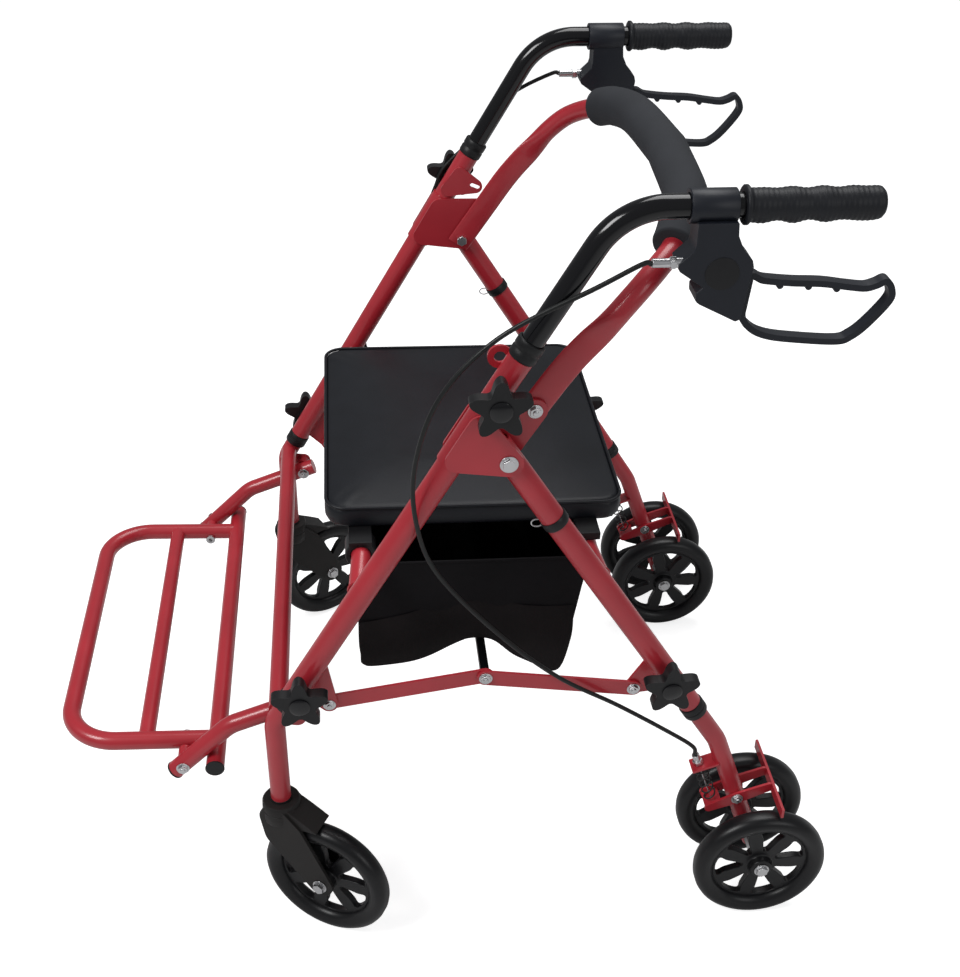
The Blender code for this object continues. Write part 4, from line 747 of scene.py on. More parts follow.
@dataclass
class MainFrame:
    """The front legs with their brackets, the collars and the seat's cross tubes."""

    body: str = "front_frame"
    sleeve: tuple[float, float] = (0.060, 0.125)
    seat_tube_r: float = 0.010

    def build(self) -> None:
        """Makes both sides and the front cross tube."""
        for side in Side:
            self.leg(side)
            self.collars(side)
            self.fasteners(side)
        self.cross("front_cross_tube", self.body, FRONT_SEAT_TUBE, Vector((-0.0884, 0.445)))

    def leg(self, side: Side) -> None:
        """One front leg: the pipe, its wrap, two cheeks, the strut tab and the ear."""
        x = side.value
        shape = Shape()
        pipe(shape, at(side, LEG_X, on_front(0)), at(side, LEG_X, on_front(FRONT_LENGTH)), LEG_R, HANDLE_R + 0.0004)
        start, end = self.sleeve
        pipe(shape, at(side, LEG_X, on_front(start)), at(side, LEG_X, on_front(end)),
             LEG_R + GAP + CHEEK * 0.6, LEG_R + 0.0001)
        ends = [(on_front(start + 0.012), 0.012), (on_front(end - 0.012), 0.012), (PIVOT, 0.014)]
        offset = LEG_R + GAP + CHEEK / 2
        shape.plate([wrapped(ends), circle(PIVOT, 0.0045)], x * (LEG_X + offset), CHEEK)
        shape.plate([wrapped(ends + [(ARM_BOLT, 0.012)]), circle(PIVOT, 0.0045)], x * (LEG_X - offset), CHEEK)
        out = Vector((FRONT_UP.y, -FRONT_UP.x)) * 0.0122
        tab = wrapped([(on_front(FRONT_LENGTH - 0.004) + out, 0.0003), (on_front(FRONT_LENGTH - 0.052) + out, 0.0003),
                       (SPREAD_A, 0.009)])
        shape.plate([tab], x * REAR_LINK_X, 0.003)
        self.ear(shape, side)
        shape.piece(f"front_leg_{side.tag}_look", RED, self.body, [f"front_leg_{side.tag}"], bevel=0.0005)

    @staticmethod
    def ear(shape: Shape, side: Side) -> None:
        """The strap ear: a round one on the left, a slotted lug on the right."""
        x = side.value * (LEG_X - LEG_R - 0.0003)
        if side is Side.LEFT:
            centre = Vector((0.0465, 0.703))
            shape.plate([wrapped([(centre, 0.0115), (on_front(0.012), 0.010)]), circle(centre, 0.0055)], x, 0.003)
            return
        centre = Vector((0.0713, 0.6715))
        lobes = [(Vector((0.052, 0.688)), 0.008), (Vector((0.037, 0.668)), 0.008), (centre, 0.0085)]
        slot = wrapped([(centre + Vector((0.003, -0.001)), 0.0025), (centre - Vector((0.004, -0.002)), 0.0025)])
        shape.plate([wrapped(lobes), slot], x, 0.003)

    def collars(self, side: Side) -> None:
        """The plastic rings at both ends of the leg."""
        ring(f"top_collar_{side.tag}_look", self.body, at(side, LEG_X, on_front(-GAP)),
             at(side, LEG_X, on_front(-0.020)), 0.0137, HANDLE_R + 0.0004, BLACK, [f"top_collar_{side.tag}"])
        ring(f"front_collar_{side.tag}_look", self.body, at(side, LEG_X, on_front(FRONT_LENGTH + GAP)),
             at(side, LEG_X, on_front(FRONT_LENGTH + 0.016)), 0.0137, 0.0114, BLACK, [f"front_collar_{side.tag}"])

    def fasteners(self, side: Side) -> None:
        """The folding bolt, the arm bolt and the strut rivet."""
        x = side.value
        out = LEG_X + LEG_R + CHEEK + 2 * GAP
        inner = 0.2438 - 0.0025 - GAP
        shape = Shape().across(side, PIVOT, inner - 0.002, out + 0.001, 0.004, 24)
        shape.across(side, PIVOT, inner - 0.005, inner, 0.0065, 6)
        shape.across(side, PIVOT, out, out + 0.001, 0.0088)
        shape.across(side, PIVOT, out + 0.001, out + 0.0042, 0.0066, 6)
        shape.piece(f"pivot_pin_{side.tag}_look", ZINC, self.body, [f"pivot_pin_{side.tag}"], bevel=0.0004)
        face = LEG_X - LEG_R - GAP - CHEEK
        bolt(f"arm_bolt_{side.tag}", self.body, at(side, face + CHEEK + 0.0001, ARM_BOLT), Vector((x, 0, 0)), 0.0056)
        bolt(f"strut_rivet_{side.tag}", self.body, at(side, REAR_LINK_X + 0.0015, SPREAD_A), Vector((x, 0, 0)), 0.0052,
             0.003)

    def cross(self, node: str, body: str, run: Vector, end: Vector) -> None:
        """A seat cross tube that swings down into the legs.

        Args:
            node: The CAD node it stands for.
            body: The body it moves with.
            run: Side-view point of its straight run.
            end: Side-view point where it meets the legs.
        """
        points = [at(Side.LEFT, LEG_X - LEG_R + 0.0004, end), at(Side.LEFT, LEG_X - LEG_R - 0.005, end),
                  at(Side.LEFT, 0.205, run), at(Side.RIGHT, 0.205, run),
                  at(Side.RIGHT, LEG_X - LEG_R - 0.005, end), at(Side.RIGHT, LEG_X - LEG_R + 0.0004, end)]
        shape = Shape().sweep(rounded(points, 0.03), self.seat_tube_r, 32)
        for side in Side:
            bead = [at(side, LEG_X - LEG_R - 0.0006, end + Vector((math.cos(a), math.sin(a))) * 0.0104)
                    for a in (math.tau * i / 32 for i in range(32))]
            shape.sweep(bead, 0.0012, 8, closed=True)
        shape.piece(node + "_look", RED, body, [node])


@dataclass
class RearFrame:
    """The rear legs that fold forward, with the rear seat tube and the rear collars."""

    body: str = "rear_frame"

    def build(self) -> None:
        """Makes both rear legs and the cross tube."""
        for side in Side:
            self.leg(side)
            self.band(side)
            ring(f"rear_collar_{side.tag}_look", self.body, at(side, LEG_X, on_rear(REAR_TUBE + GAP)),
                 at(side, LEG_X, on_rear(REAR_TUBE + 0.016)), 0.0137, 0.0109, BLACK, [f"rear_collar_{side.tag}"])
        MainFrame().cross("rear_cross_tube", self.body, REAR_SEAT_TUBE, Vector((0.1537, 0.4497)))

    def leg(self, side: Side) -> None:
        """One rear leg with its strut tab."""
        shape = Shape()
        pipe(shape, at(side, LEG_X, on_rear(-0.018)), at(side, LEG_X, on_rear(REAR_TUBE)), LEG_R, 0.0109)
        foot = on_rear((SPREAD_B - PIVOT).dot(REAR_DOWN))
        out = (SPREAD_B - foot).normalized() * 0.0122
        tab = wrapped([(foot - REAR_DOWN * 0.024 + out, 0.0003), (foot + REAR_DOWN * 0.024 + out, 0.0003),
                       (SPREAD_B, 0.009)])
        shape.plate([tab], side.value * FRONT_LINK_X, 0.003)
        shape.piece(f"rear_leg_{side.tag}_look", RED, self.body, [f"rear_leg_{side.tag}"], bevel=0.0005)

    def band(self, side: Side) -> None:
        """The black band with its wire ring on the leg."""
        start, end = at(side, LEG_X, on_rear(0.084)), at(side, LEG_X, on_rear(0.094))
        profile = [(0.0126, 0.0), (0.0133, 0.0), (0.0138, 0.0012), (0.0138, 0.0088), (0.0133, 0.010), (0.0126, 0.010)]
        Shape().turned(profile, facing(start, end), 48).piece(f"leg_band_{side.tag}", BLACK, self.body)
        middle = on_rear(0.089) - Vector((0.0165, 0.0045))
        loop = [at(side, LEG_X - 0.002, middle + Vector((math.cos(a) * 0.0058, math.sin(a) * 0.0042)))
                for a in (math.tau * i / 28 for i in range(28))]
        Shape().sweep(loop, 0.0007, 8, closed=True).piece(f"leg_wire_{side.tag}", ZINC, self.body)


@dataclass
class RearLower:
    """The rear inserts with the brake bracket, arm, spring and the axle of the twin wheels."""

    spring_turns: int = 5

    def build(self) -> None:
        """Makes both sides."""
        for side in Side:
            self.insert(side)
            self.arm(side)
            self.spring(side)
            self.axle(side)

    def insert(self, side: Side) -> None:
        """The bent lower leg with its cable bracket."""
        body = f"rear_lower_{side.tag}"
        points = [at(side, LEG_X, p) for p in (on_rear(REAR_TUBE - 0.120), REAR_CORNER, REAR_HUB + INSERT_DOWN * 0.013)]
        shape = Shape().sweep(rounded(points, 0.06, 12), 0.0105, 32)
        shelf = [on_insert(BRACKET_ALONG, 0.006), on_insert(BRACKET_ALONG, 0.037),
                 on_insert(BRACKET_ALONG + 0.003, 0.037), on_insert(BRACKET_ALONG + 0.003, 0.006)]
        shape.plate([shelf], side.value * LEG_X, 0.020)
        shape.piece(f"rear_insert_{side.tag}_look", RED, body, [f"rear_insert_{side.tag}"], bevel=0.0006)
        start, end = (at(side, LEG_X, on_insert(a, BRAKE_OFFSET)) for a in (0.014, BRACKET_ALONG))
        ferrule = Shape().rod(start, end, 0.0042, 28)
        ferrule.rod(start.lerp(end, 0.55), start.lerp(end, 0.95), 0.0058, 6)
        ferrule.piece(f"ferrule_{side.tag}", ZINC, body, bevel=0.0004)

    def arm(self, side: Side) -> None:
        """The brake arm: two plates, the spring seat and the tab over the tyres."""
        body = f"brake_arm_{side.tag}"
        spine = wrapped([(on_insert(BRAKE_ALONG + 0.0015, 0.033), 0.005), (on_insert(BRAKE_ALONG), 0.0075),
                         (Vector((0.362, 0.159)), 0.0055)])
        shape = Shape()
        for sign in (1, -1):
            shape.plate([spine], side.value * (LEG_X + sign * 0.0123), 0.003)
        seat = [on_insert(BRAKE_ALONG, 0.0175), on_insert(BRAKE_ALONG, 0.037),
                on_insert(BRAKE_ALONG + 0.003, 0.037), on_insert(BRAKE_ALONG + 0.003, 0.0175)]
        shape.plate([seat], side.value * LEG_X, 0.0246)
        shape.box((side.value * 0.205, 0.3645, 0.152), (side.value * 0.315, 0.3675, 0.164))
        shape.piece(f"brake_arm_{side.tag}_look", RED, body, [f"brake_arm_{side.tag}"], bevel=0.0006)
        for sign in (1, -1):
            bolt(f"brake_bolt_{side.tag}_{sign}", body, at(side, LEG_X + sign * 0.0138, on_insert(BRAKE_ALONG)),
                 Vector((side.value * sign, 0, 0)), 0.0052, 0.0035)
        low, high = (at(side, LEG_X, on_insert(a, BRAKE_OFFSET)) for a in (BRACKET_ALONG + 0.0065, BRAKE_ALONG + 0.009))
        wire = Shape().rod(low, high, 0.0008, 12).rod(low.lerp(high, 0.90), high, 0.0036, 6)
        wire.piece(f"brake_wire_{side.tag}", ZINC, body, bevel=0.0003)

    def spring(self, side: Side) -> None:
        """The return spring, one wire wound round the brake wire."""
        low, high = BRACKET_ALONG + 0.0042, BRAKE_ALONG - 0.0012
        place = facing(at(side, LEG_X, on_insert(low, BRAKE_OFFSET)), at(side, LEG_X, on_insert(high, BRAKE_OFFSET)))
        per = 24
        total = self.spring_turns * per
        route = [place @ Vector((0.0068 * math.cos(math.tau * i / per), 0.0068 * math.sin(math.tau * i / per),
                                 (high - low) * i / total)) for i in range(total + 1)]
        item = Shape().sweep(route, 0.0009, 12).piece(
            f"brake_spring_{side.tag}_look", SPRING, f"rear_lower_{side.tag}", [f"brake_spring_{side.tag}"])
        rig.squash(item, f"brake_squeeze_{side.tag}", Vector((0.0, *INSERT_DOWN)), place.translation, keep=0.96)

    def axle(self, side: Side) -> None:
        """The axle with its spacers and end bolts."""
        reach = 0.045 + 0.025 * 0.52 + GAP
        body = f"rear_lower_{side.tag}"
        shape = Shape().across(side, REAR_HUB, LEG_X - reach - 0.001, LEG_X + reach + 0.001, 0.004, 24)
        for sign in (1, -1):
            shape.across(side, REAR_HUB, LEG_X + sign * 0.0108, LEG_X + sign * (0.045 - 0.0133), 0.0075)
            shape.across(side, REAR_HUB, LEG_X + sign * reach, LEG_X + sign * (reach + 0.001), 0.0085)
            shape.across(side, REAR_HUB, LEG_X + sign * (reach + 0.001), LEG_X + sign * (reach + 0.004), 0.0068, 6)
        shape.piece(f"rear_axle_{side.tag}_look", ZINC, body, [f"rear_axle_{side.tag}"], bevel=0.0004)


@dataclass
class Wheel:
    """A glossy moulded wheel: tyre, dished web with bell-shaped windows, long hub."""

    node: str
    centre: Vector
    axis: Vector
    width: float

    def build(self) -> None:
        """Makes the wheel as one piece."""
        place = facing(self.centre, self.centre + self.axis)
        half = self.width / 2
        rim = RIM_R - 0.0006
        tyre = [(rim, -half * 0.30), (rim + 0.0010, -half * 0.56), (0.0572, -half * 0.80), (0.0612, -half * 0.95),
                (0.0644, -half), (0.0672, -half), (0.0708, -half * 0.86), (0.0738, -half * 0.60),
                (WHEEL_R, -half * 0.28)]
        tyre += [(radius, -height) for radius, height in reversed(tyre)]
        shape = Shape().turned(tyre, place, 112)
        top = half * 1.04
        hub = [(0.0046, -top), (0.0112, -top), (0.0125, -top + 0.0012), (0.0138, -half * 0.4),
               (0.0165, -half * 0.30)]
        hub += [(radius, -height) for radius, height in reversed(hub)]
        shape.turned(hub, place, 56)
        holes = [smooth(self.window(i), 5, closed=True) for i in range(WINDOWS)]
        disc = [Vector((math.cos(math.tau * i / 112), math.sin(math.tau * i / 112))) for i in range(112)]
        web = [[p * (rim + 0.002) for p in disc], *holes, [p * 0.012 for p in disc[::3]]]
        shape.flat(web, place, self.width * 0.34)
        shape.piece(self.node + "_look", TYRE, self.node, [self.node], bevel=0.0010, angle=32.0)

    @staticmethod
    def window(index: int) -> list[Vector]:
        """One window between two spokes, narrow at the hub."""
        turn = math.tau * (index + 0.5) / WINDOWS
        half = math.pi / WINDOWS
        shape = [(0.0205, -0.26), (0.028, -0.40), (0.040, -0.52), (0.0488, -0.64), (0.0506, -0.30), (0.0509, 0.0),
                 (0.0506, 0.30), (0.0488, 0.64), (0.040, 0.52), (0.028, 0.40), (0.0205, 0.26)]
        return [Vector((r * math.cos(turn + half * a), r * math.sin(turn + half * a))) for r, a in shape]


@dataclass
class Caster:
    """A swivelling fork with its wheel."""

    side: Side
    turn: float = math.radians(28.5)
    trail: float = 0.052
    axis_y: float = -0.1815
    top: float = 0.176

    def build(self) -> None:
        """Makes the fork, its fasteners and the wheel."""
        tag = self.side.tag
        body = f"caster_{tag}"
        back = Vector((self.side.value * math.sin(self.turn), math.cos(self.turn), 0.0))
        axis = Vector((back.y, -back.x, 0.0))
        swivel = Vector((self.side.value * LEG_X, self.axis_y, 0.0))
        hub = swivel + back * self.trail + Vector((0, 0, WHEEL_R))
        head = [(0.0, 0.146), (0.0170, 0.146), (0.0205, 0.150), (0.0212, 0.158), (0.0210, 0.1636), (0.0204, 0.1640),
                (0.0204, 0.1650), (0.0210, 0.1654), (0.0206, 0.1735), (0.0192, 0.1756), (0.0150, self.top),
                (0.0, self.top)]
        shape = Shape().turned(head, Matrix.Translation(swivel), 64, closed=False)
        frame = Matrix(((back.x, 0, axis.x, 0), (back.y, 0, axis.y, 0), (0, 1, 0, 0), (0, 0, 0, 1)))
        cheek = wrapped([(Vector((0.0005, 0.1560)), 0.0190), (Vector((0.0040, 0.1330)), 0.0180),
                         (Vector((0.0180, 0.1420)), 0.0165), (Vector((self.trail, WHEEL_R + 0.002)), 0.0155)])
        for sign in (1, -1):
            shape.flat([cheek], Matrix.Translation(swivel + axis * sign * 0.0157) @ frame, 0.004)
        shape.piece(f"caster_fork_{tag}_look", FORK, body, [f"caster_fork_{tag}"], bevel=0.0011)
        rib = [Vector(p) for p in ((-0.0150, 0.1420), (-0.0040, 0.1345), (0.0080, 0.1405), (0.0220, 0.1478),
                                   (0.0360, 0.1520), (0.0500, 0.1530), (0.0500, 0.1542), (0.0400, 0.1600),
                                   (0.0300, 0.1655), (0.0200, 0.1706), (0.0120, 0.1740), (-0.0140, 0.1740))]
        Shape().flat([rib], Matrix.Translation(swivel) @ frame, 0.0300).piece(
            f"fork_crown_{tag}", FORK, body, bevel=0.0022, angle=50.0)
        pin = Shape().rod(hub - axis * 0.0195, hub + axis * 0.0195, 0.004, 24)
        for sign in (1, -1):
            pin.rod(hub + axis * sign * 0.0177, hub + axis * sign * 0.0188, 0.0084, 32)
            pin.rod(hub + axis * sign * 0.0188, hub + axis * sign * 0.0235, 0.0066, 6)
        pin.rod(swivel + Vector((0, 0, self.top - 0.001)), swivel + Vector((0, 0, self.top + 0.045)), 0.005, 24)
        pin.piece(f"caster_axle_{tag}", ZINC, body, bevel=0.0004)
        Wheel(f"caster_wheel_{tag}", hub, axis, 0.024).build()


@dataclass
class Knob:
    """A star knob on its boss and stud."""

    node: str
    side: Side
    spot: Vector

    def build(self) -> None:
        """Makes the knob with its bright cap."""
        face = LEG_X + LEG_R + GAP
        middle = face + 0.0085 + 0.0065
        star = []
        for index in range(100):
            angle = math.tau * index / 100
            lobe = 0.5 + 0.5 * math.cos(5 * angle)
            reach = 0.030 * (0.56 + 0.44 * lobe ** 1.25)
            star.append(self.spot + Vector((math.sin(angle), math.cos(angle))) * reach)
        shape = Shape().plate([star], self.side.value * middle, 0.013)
        shape.across(self.side, self.spot, face, middle, 0.009)
        shape.piece(self.node + "_look", BLACK, self.node, [self.node], bevel=0.0024)
        top = at(self.side, middle + 0.0060, self.spot)
        cap = [(0.0, 0.0), (0.0105, 0.0), (0.0105, 0.0018), (0.0080, 0.0030), (0.0, 0.0036)]
        Shape().turned(cap, facing(top, top + Vector((self.side.value, 0, 0))), 48, closed=False).piece(
            self.node + "_cap", GLOSS, self.node)
        Shape().across(self.side, self.spot, LEG_X + HANDLE_R + 2 * GAP, middle, 0.003).piece(
            self.node + "_stud", ZINC, self.node)


@dataclass
class LowerFrame:
    """The front inserts with their cross tube, the hangers, and the folding struts."""

    def build(self) -> None:
        """Makes the lower frame, hangers and struts."""
        shape = Shape().sweep([at(Side.LEFT, 0.256, (-0.177, 0.299)), at(Side.RIGHT, 0.256, (-0.177, 0.299))], 0.010, 32)
        corner, foot = Vector((-0.1815, 0.286)), Vector((-0.1815, 0.1763))
        for side in Side:
            points = [at(side, LEG_X, p) for p in (on_front(0.361), corner, foot)]
            shape.sweep(rounded(points, 0.035, 10), 0.011, 32)
            shape.plate([wrapped([(corner, 0.008), (Vector((-0.158, 0.2825)), 0.009)])], side.value * 0.2535, 0.004)
            shape.across(side, (-0.158, 0.2825), 0.2393, 0.2545, 0.008)
        shape.piece("front_lower_look", RED, "front_lower", ["front_lower_frame"], bevel=0.0006)
        for side in Side:
            self.hanger(side)
            self.socket(side)
        self.struts()

    def hanger(self, side: Side) -> None:
        """The bent arm that carries the footrest."""
        points = [at(side, 0.229, p) for p in ((-0.296, 0.193), (-0.232, 0.255), (-0.144, 0.288))]
        shape = Shape().sweep(rounded(points, 0.04, 10), 0.010, 32)
        shape.across(side, (-0.286, 0.204), 0.2093, 0.229, 0.007)
        shape.piece(f"hanger_{side.tag}_look", RED, "front_lower", [f"hanger_{side.tag}"], bevel=0.0006)
        start = at(side, 0.229, (-0.296, 0.193))
        ahead = (points[0] - points[1]).normalized()
        Shape().rod(start - ahead * 0.001, start + ahead * 0.0012, 0.0104, 32).piece(
            f"hanger_cap_{side.tag}", BLACK, "front_lower", bevel=0.0005)
        x = side.value
        bolt(f"hanger_bolt_{side.tag}", "front_lower", at(side, 0.2388, (-0.158, 0.2825)) - Vector((x * 0.0198, 0, 0)),
             Vector((-x, 0, 0)), 0.0056)
        bolt(f"foot_bolt_{side.tag}", "front_lower", at(side, 0.2388, (-0.286, 0.204)), Vector((x, 0, 0)), 0.0056)
        pin = Shape().across(side, (-0.286, 0.204), 0.1847, 0.232, 0.003, 24)
        pin.across(side, (-0.286, 0.204), 0.1847, 0.1885, 0.006)
        pin.piece(f"foot_pin_{side.tag}", ZINC, "front_lower", bevel=0.0003)

    @staticmethod
    def socket(side: Side) -> None:
        """The black bush between the insert and the fork."""
        start = at(side, LEG_X, (-0.1815, 0.1763))
        Shape().rod(start, start + Vector((0, 0, 0.0024)), 0.0117, 40).piece(
            f"caster_bush_{side.tag}", BLACK, "front_lower", bevel=0.0004)

    @staticmethod
    def struts() -> None:
        """The folding struts with the black cross rod and its nuts."""
        front = Shape()
        for side in Side:
            front.plate([wrapped([(SPREAD_A, 0.009), (SPREAD_C, 0.009)])], side.value * FRONT_LINK_X, 0.003)
        front.piece("spreader_front_look", RED, "spreader_front", ["spreader_front"], bevel=0.0005)
        Shape().across(Side.LEFT, SPREAD_C, FRONT_LINK_X - 0.001, -FRONT_LINK_X + 0.001, 0.005).piece(
            "cross_rod", GLOSS, "spreader_front")
        for side in Side:
            link = Shape().plate([wrapped([(SPREAD_B, 0.009), (SPREAD_C, 0.009)])], side.value * REAR_LINK_X, 0.003)
            link.piece(f"rear_link_{side.tag}_look", RED, "spreader_rear", [f"rear_link_{side.tag}"], bevel=0.0005)
            for label, spot in (("b", SPREAD_B), ("c", SPREAD_C)):
                bolt(f"strut_nut_{side.tag}_{label}", "spreader_rear", at(side, REAR_LINK_X + 0.0015, spot),
                     Vector((side.value, 0, 0)), 0.0055, 0.0035)
            bolt(f"strut_inner_{side.tag}", "spreader_front", at(side, FRONT_LINK_X - 0.0015, SPREAD_A),
                 Vector((-side.value, 0, 0)), 0.0052, 0.003)


@dataclass
class Footrest:
    """The footrest's loop with its two bars."""

    def build(self) -> None:
        """Makes the loop and bars."""
        rear = Vector((-0.2551, 0.2072))
        front = Vector((-0.4165, 0.214))
        points = [at(Side.LEFT, 0.199, rear), at(Side.LEFT, 0.199, front), at(Side.RIGHT, 0.199, front),
                  at(Side.RIGHT, 0.199, rear)]
        shape = Shape().sweep(rounded(points, 0.055, 16), 0.010, 32)
        middle = rear.lerp(front, (-0.329 - rear.x) / (front.x - rear.x))
        shape.sweep([at(Side.LEFT, 0.199, middle), at(Side.RIGHT, 0.199, middle)], 0.009, 32)
        bar = Vector((-0.2511, 0.2072))
        shape.sweep([at(Side.LEFT, 0.2448, bar), at(Side.RIGHT, 0.2448, bar)], 0.010, 32)
        shape.piece("footrest_look", RED, "footrest", ["footrest_platform"], bevel=0.0006)
        for side in Side:
            Shape().across(side, bar, 0.2440, 0.2458, 0.0104).piece(
                f"bar_cap_{side.tag}", BLACK, "footrest", bevel=0.0005)


@dataclass
class Handle:
    """A handle: bent tube, grip, brake housing and lever."""

    side: Side

    def build(self) -> None:
        """Makes the handle's pieces."""
        self.tube()
        self.grip()
        self.housing()
        self.lever()

    @property
    def body(self) -> str:
        """The body that the handle moves with."""
        return f"handle_{self.side.tag}"

    def tube(self) -> None:
        """The glossy bent tube."""
        points = [at(self.side, LEG_X, p) for p in (on_front(0.250), HANDLE_CORNER,
                                                   Vector((HANDLE_END_Y, HANDLE_CORNER.y)))]
        Shape().sweep(rounded(points, 0.070, 20), HANDLE_R, 40).piece(
            f"handle_tube_{self.side.tag}_look", GLOSS, self.body, [f"handle_tube_{self.side.tag}"])

    def grip(self) -> None:
        """The rubber grip: a flange, finger swells below and a ribbed thumb side."""
        start = at(self.side, LEG_X, (GRIP_FROM_Y, HANDLE_CORNER.y))
        length = GRIP_TO_Y - GRIP_FROM_Y
        profile = [(HANDLE_R + 0.0004, 0.0), (0.0160, 0.0), (0.0172, 0.0010), (0.0172, 0.0034), (0.0160, 0.0046),
                   (0.0142, 0.0062)]
        steps = 96
        for step in range(steps + 1):
            share = step / steps
            place = 0.0075 + share * (length - 0.0135)
            swell = 0.0008 * math.sin(share * math.tau * 4) * math.sin(math.pi * share)
            rib = 0.00022 * math.sin(share * math.tau * 24)
            profile.append((0.0143 + swell + rib, place))
        profile += [(0.0136, length - 0.0035), (0.0112, length - 0.0012), (0.0060, length), (0.0, length)]
        shape = Shape().turned(profile, facing(start, start + Vector((0, 1, 0))), 56, closed=False)
        under = HANDLE_CORNER.y
        for vert in shape.work.verts:
            if vert.co.z < under and vert.co.y > GRIP_FROM_Y + 0.006:
                share = (vert.co.y - GRIP_FROM_Y) / length
                vert.co.z -= 0.0016 * (0.5 - 0.5 * math.cos(math.tau * 4 * share)) * (under - vert.co.z) / 0.014
        shape.piece(f"grip_{self.side.tag}_look", GRIP, self.body, [f"grip_{self.side.tag}"], angle=60.0)

    def housing(self) -> None:
        """The moulded brake housing clamped on the tube."""
        x = self.side.value
        outline = [Vector(p) for p in ((0.208, 0.838), (0.243, 0.838), (0.2440, 0.826), (0.2495, 0.814),
                                       (0.259, 0.803), (0.2605, 0.797), (0.2570, 0.770), (0.2545, 0.7475),
                                       (0.2500, 0.7455), (0.2160, 0.7630), (0.2125, 0.7660), (0.2120, 0.7740),
                                       (0.2175, 0.7790), (0.1955, 0.7945), (0.1940, 0.8010), (0.2065, 0.8130),
                                       (0.2080, 0.8180))]
        shape = Shape().plate([outline], x * 0.2655, 0.027)
        start = at(self.side, LEG_X, (0.2020, HANDLE_CORNER.y))
        shape.turned([(HANDLE_R + 0.0003, 0.0), (0.0145, 0.0), (0.0150, 0.0008), (0.0150, 0.0405), (0.0145, 0.0412),
                      (HANDLE_R + 0.0003, 0.0412)], facing(start, start + Vector((0, 1, 0))), 56)
        shape.piece(f"brake_housing_{self.side.tag}_look", HOUSING, self.body, [f"brake_housing_{self.side.tag}"],
                    bevel=0.0022)
        face = at(self.side, 0.2790, (0.2330, 0.7920))
        medal = Shape().turned([(0.0, 0.0), (0.0140, 0.0), (0.0144, 0.0003), (0.0148, 0.0), (0.0152, 0.0),
                                (0.0150, 0.0006), (0.0140, 0.0007), (0.0, 0.0007)],
                               facing(face - Vector((x * 0.0002, 0, 0)), face + Vector((x, 0, 0)))
                               @ Matrix.Diagonal((1.0, 0.80, 1.0, 1.0)), 64, closed=False)
        medal.piece(f"housing_medal_{self.side.tag}", BLACK, self.body)
        barrel = Shape()
        first, last = at(self.side, 0.2735, (0.172, 0.801)), at(self.side, 0.2735, (0.200, 0.801))
        barrel.rod(first, first.lerp(last, 0.62), 0.0040, 32)
        barrel.rod(first.lerp(last, 0.56), first.lerp(last, 0.74), 0.0060, 6)
        barrel.rod(first.lerp(last, 0.7), last, 0.0044, 24)
        barrel.piece(f"barrel_{self.side.tag}", ZINC, self.body, bevel=0.0005)

    def lever(self) -> None:
        """The lever's closed loop with finger nubs and its hub."""
        line = [Vector(p) for p in ((0.262, 0.782), (0.275, 0.779), (0.301, 0.776), (0.328, 0.7745),
                                    (0.351, 0.771), (0.368, 0.769), (0.378, 0.7715), (0.3865, 0.7750),
                                    (0.3925, 0.7665), (0.3920, 0.7555), (0.3760, 0.7335), (0.3630, 0.7215),
                                    (0.3500, 0.7170), (0.3130, 0.7200), (0.2850, 0.7245), (0.2680, 0.7330),
                                    (0.2590, 0.7480))]
        loop = smooth(line, 8, closed=True)
        total = len(loop)
        outer, inner = [], []
        for index, point in enumerate(loop):
            ahead = (loop[(index + 1) % total] - loop[index - 1]).normalized()
            normal = Vector((-ahead.y, ahead.x))
            outer.append(point + normal * 0.0030)
            inner.append(point - normal * 0.0030)
        x = self.side.value * LEG_X
        shape = Shape().plate([outer, inner], x, 0.012)
        for spot in ((0.290, 0.7735), (0.316, 0.7718), (0.342, 0.7690)):
            shape.across(self.side, spot, LEG_X - 0.0055, LEG_X + 0.0055, 0.0030, 20)
        pivot = Vector((0.240, 0.775))
        shape.plate([wrapped([(pivot, 0.008), (Vector((0.261, 0.780)), 0.004), (Vector((0.258, 0.746)), 0.004)])],
                    x, 0.0116)
        shape.piece(f"brake_lever_{self.side.tag}_look", HOUSING, f"brake_lever_{self.side.tag}",
                    [f"brake_lever_{self.side.tag}"], bevel=0.0012)


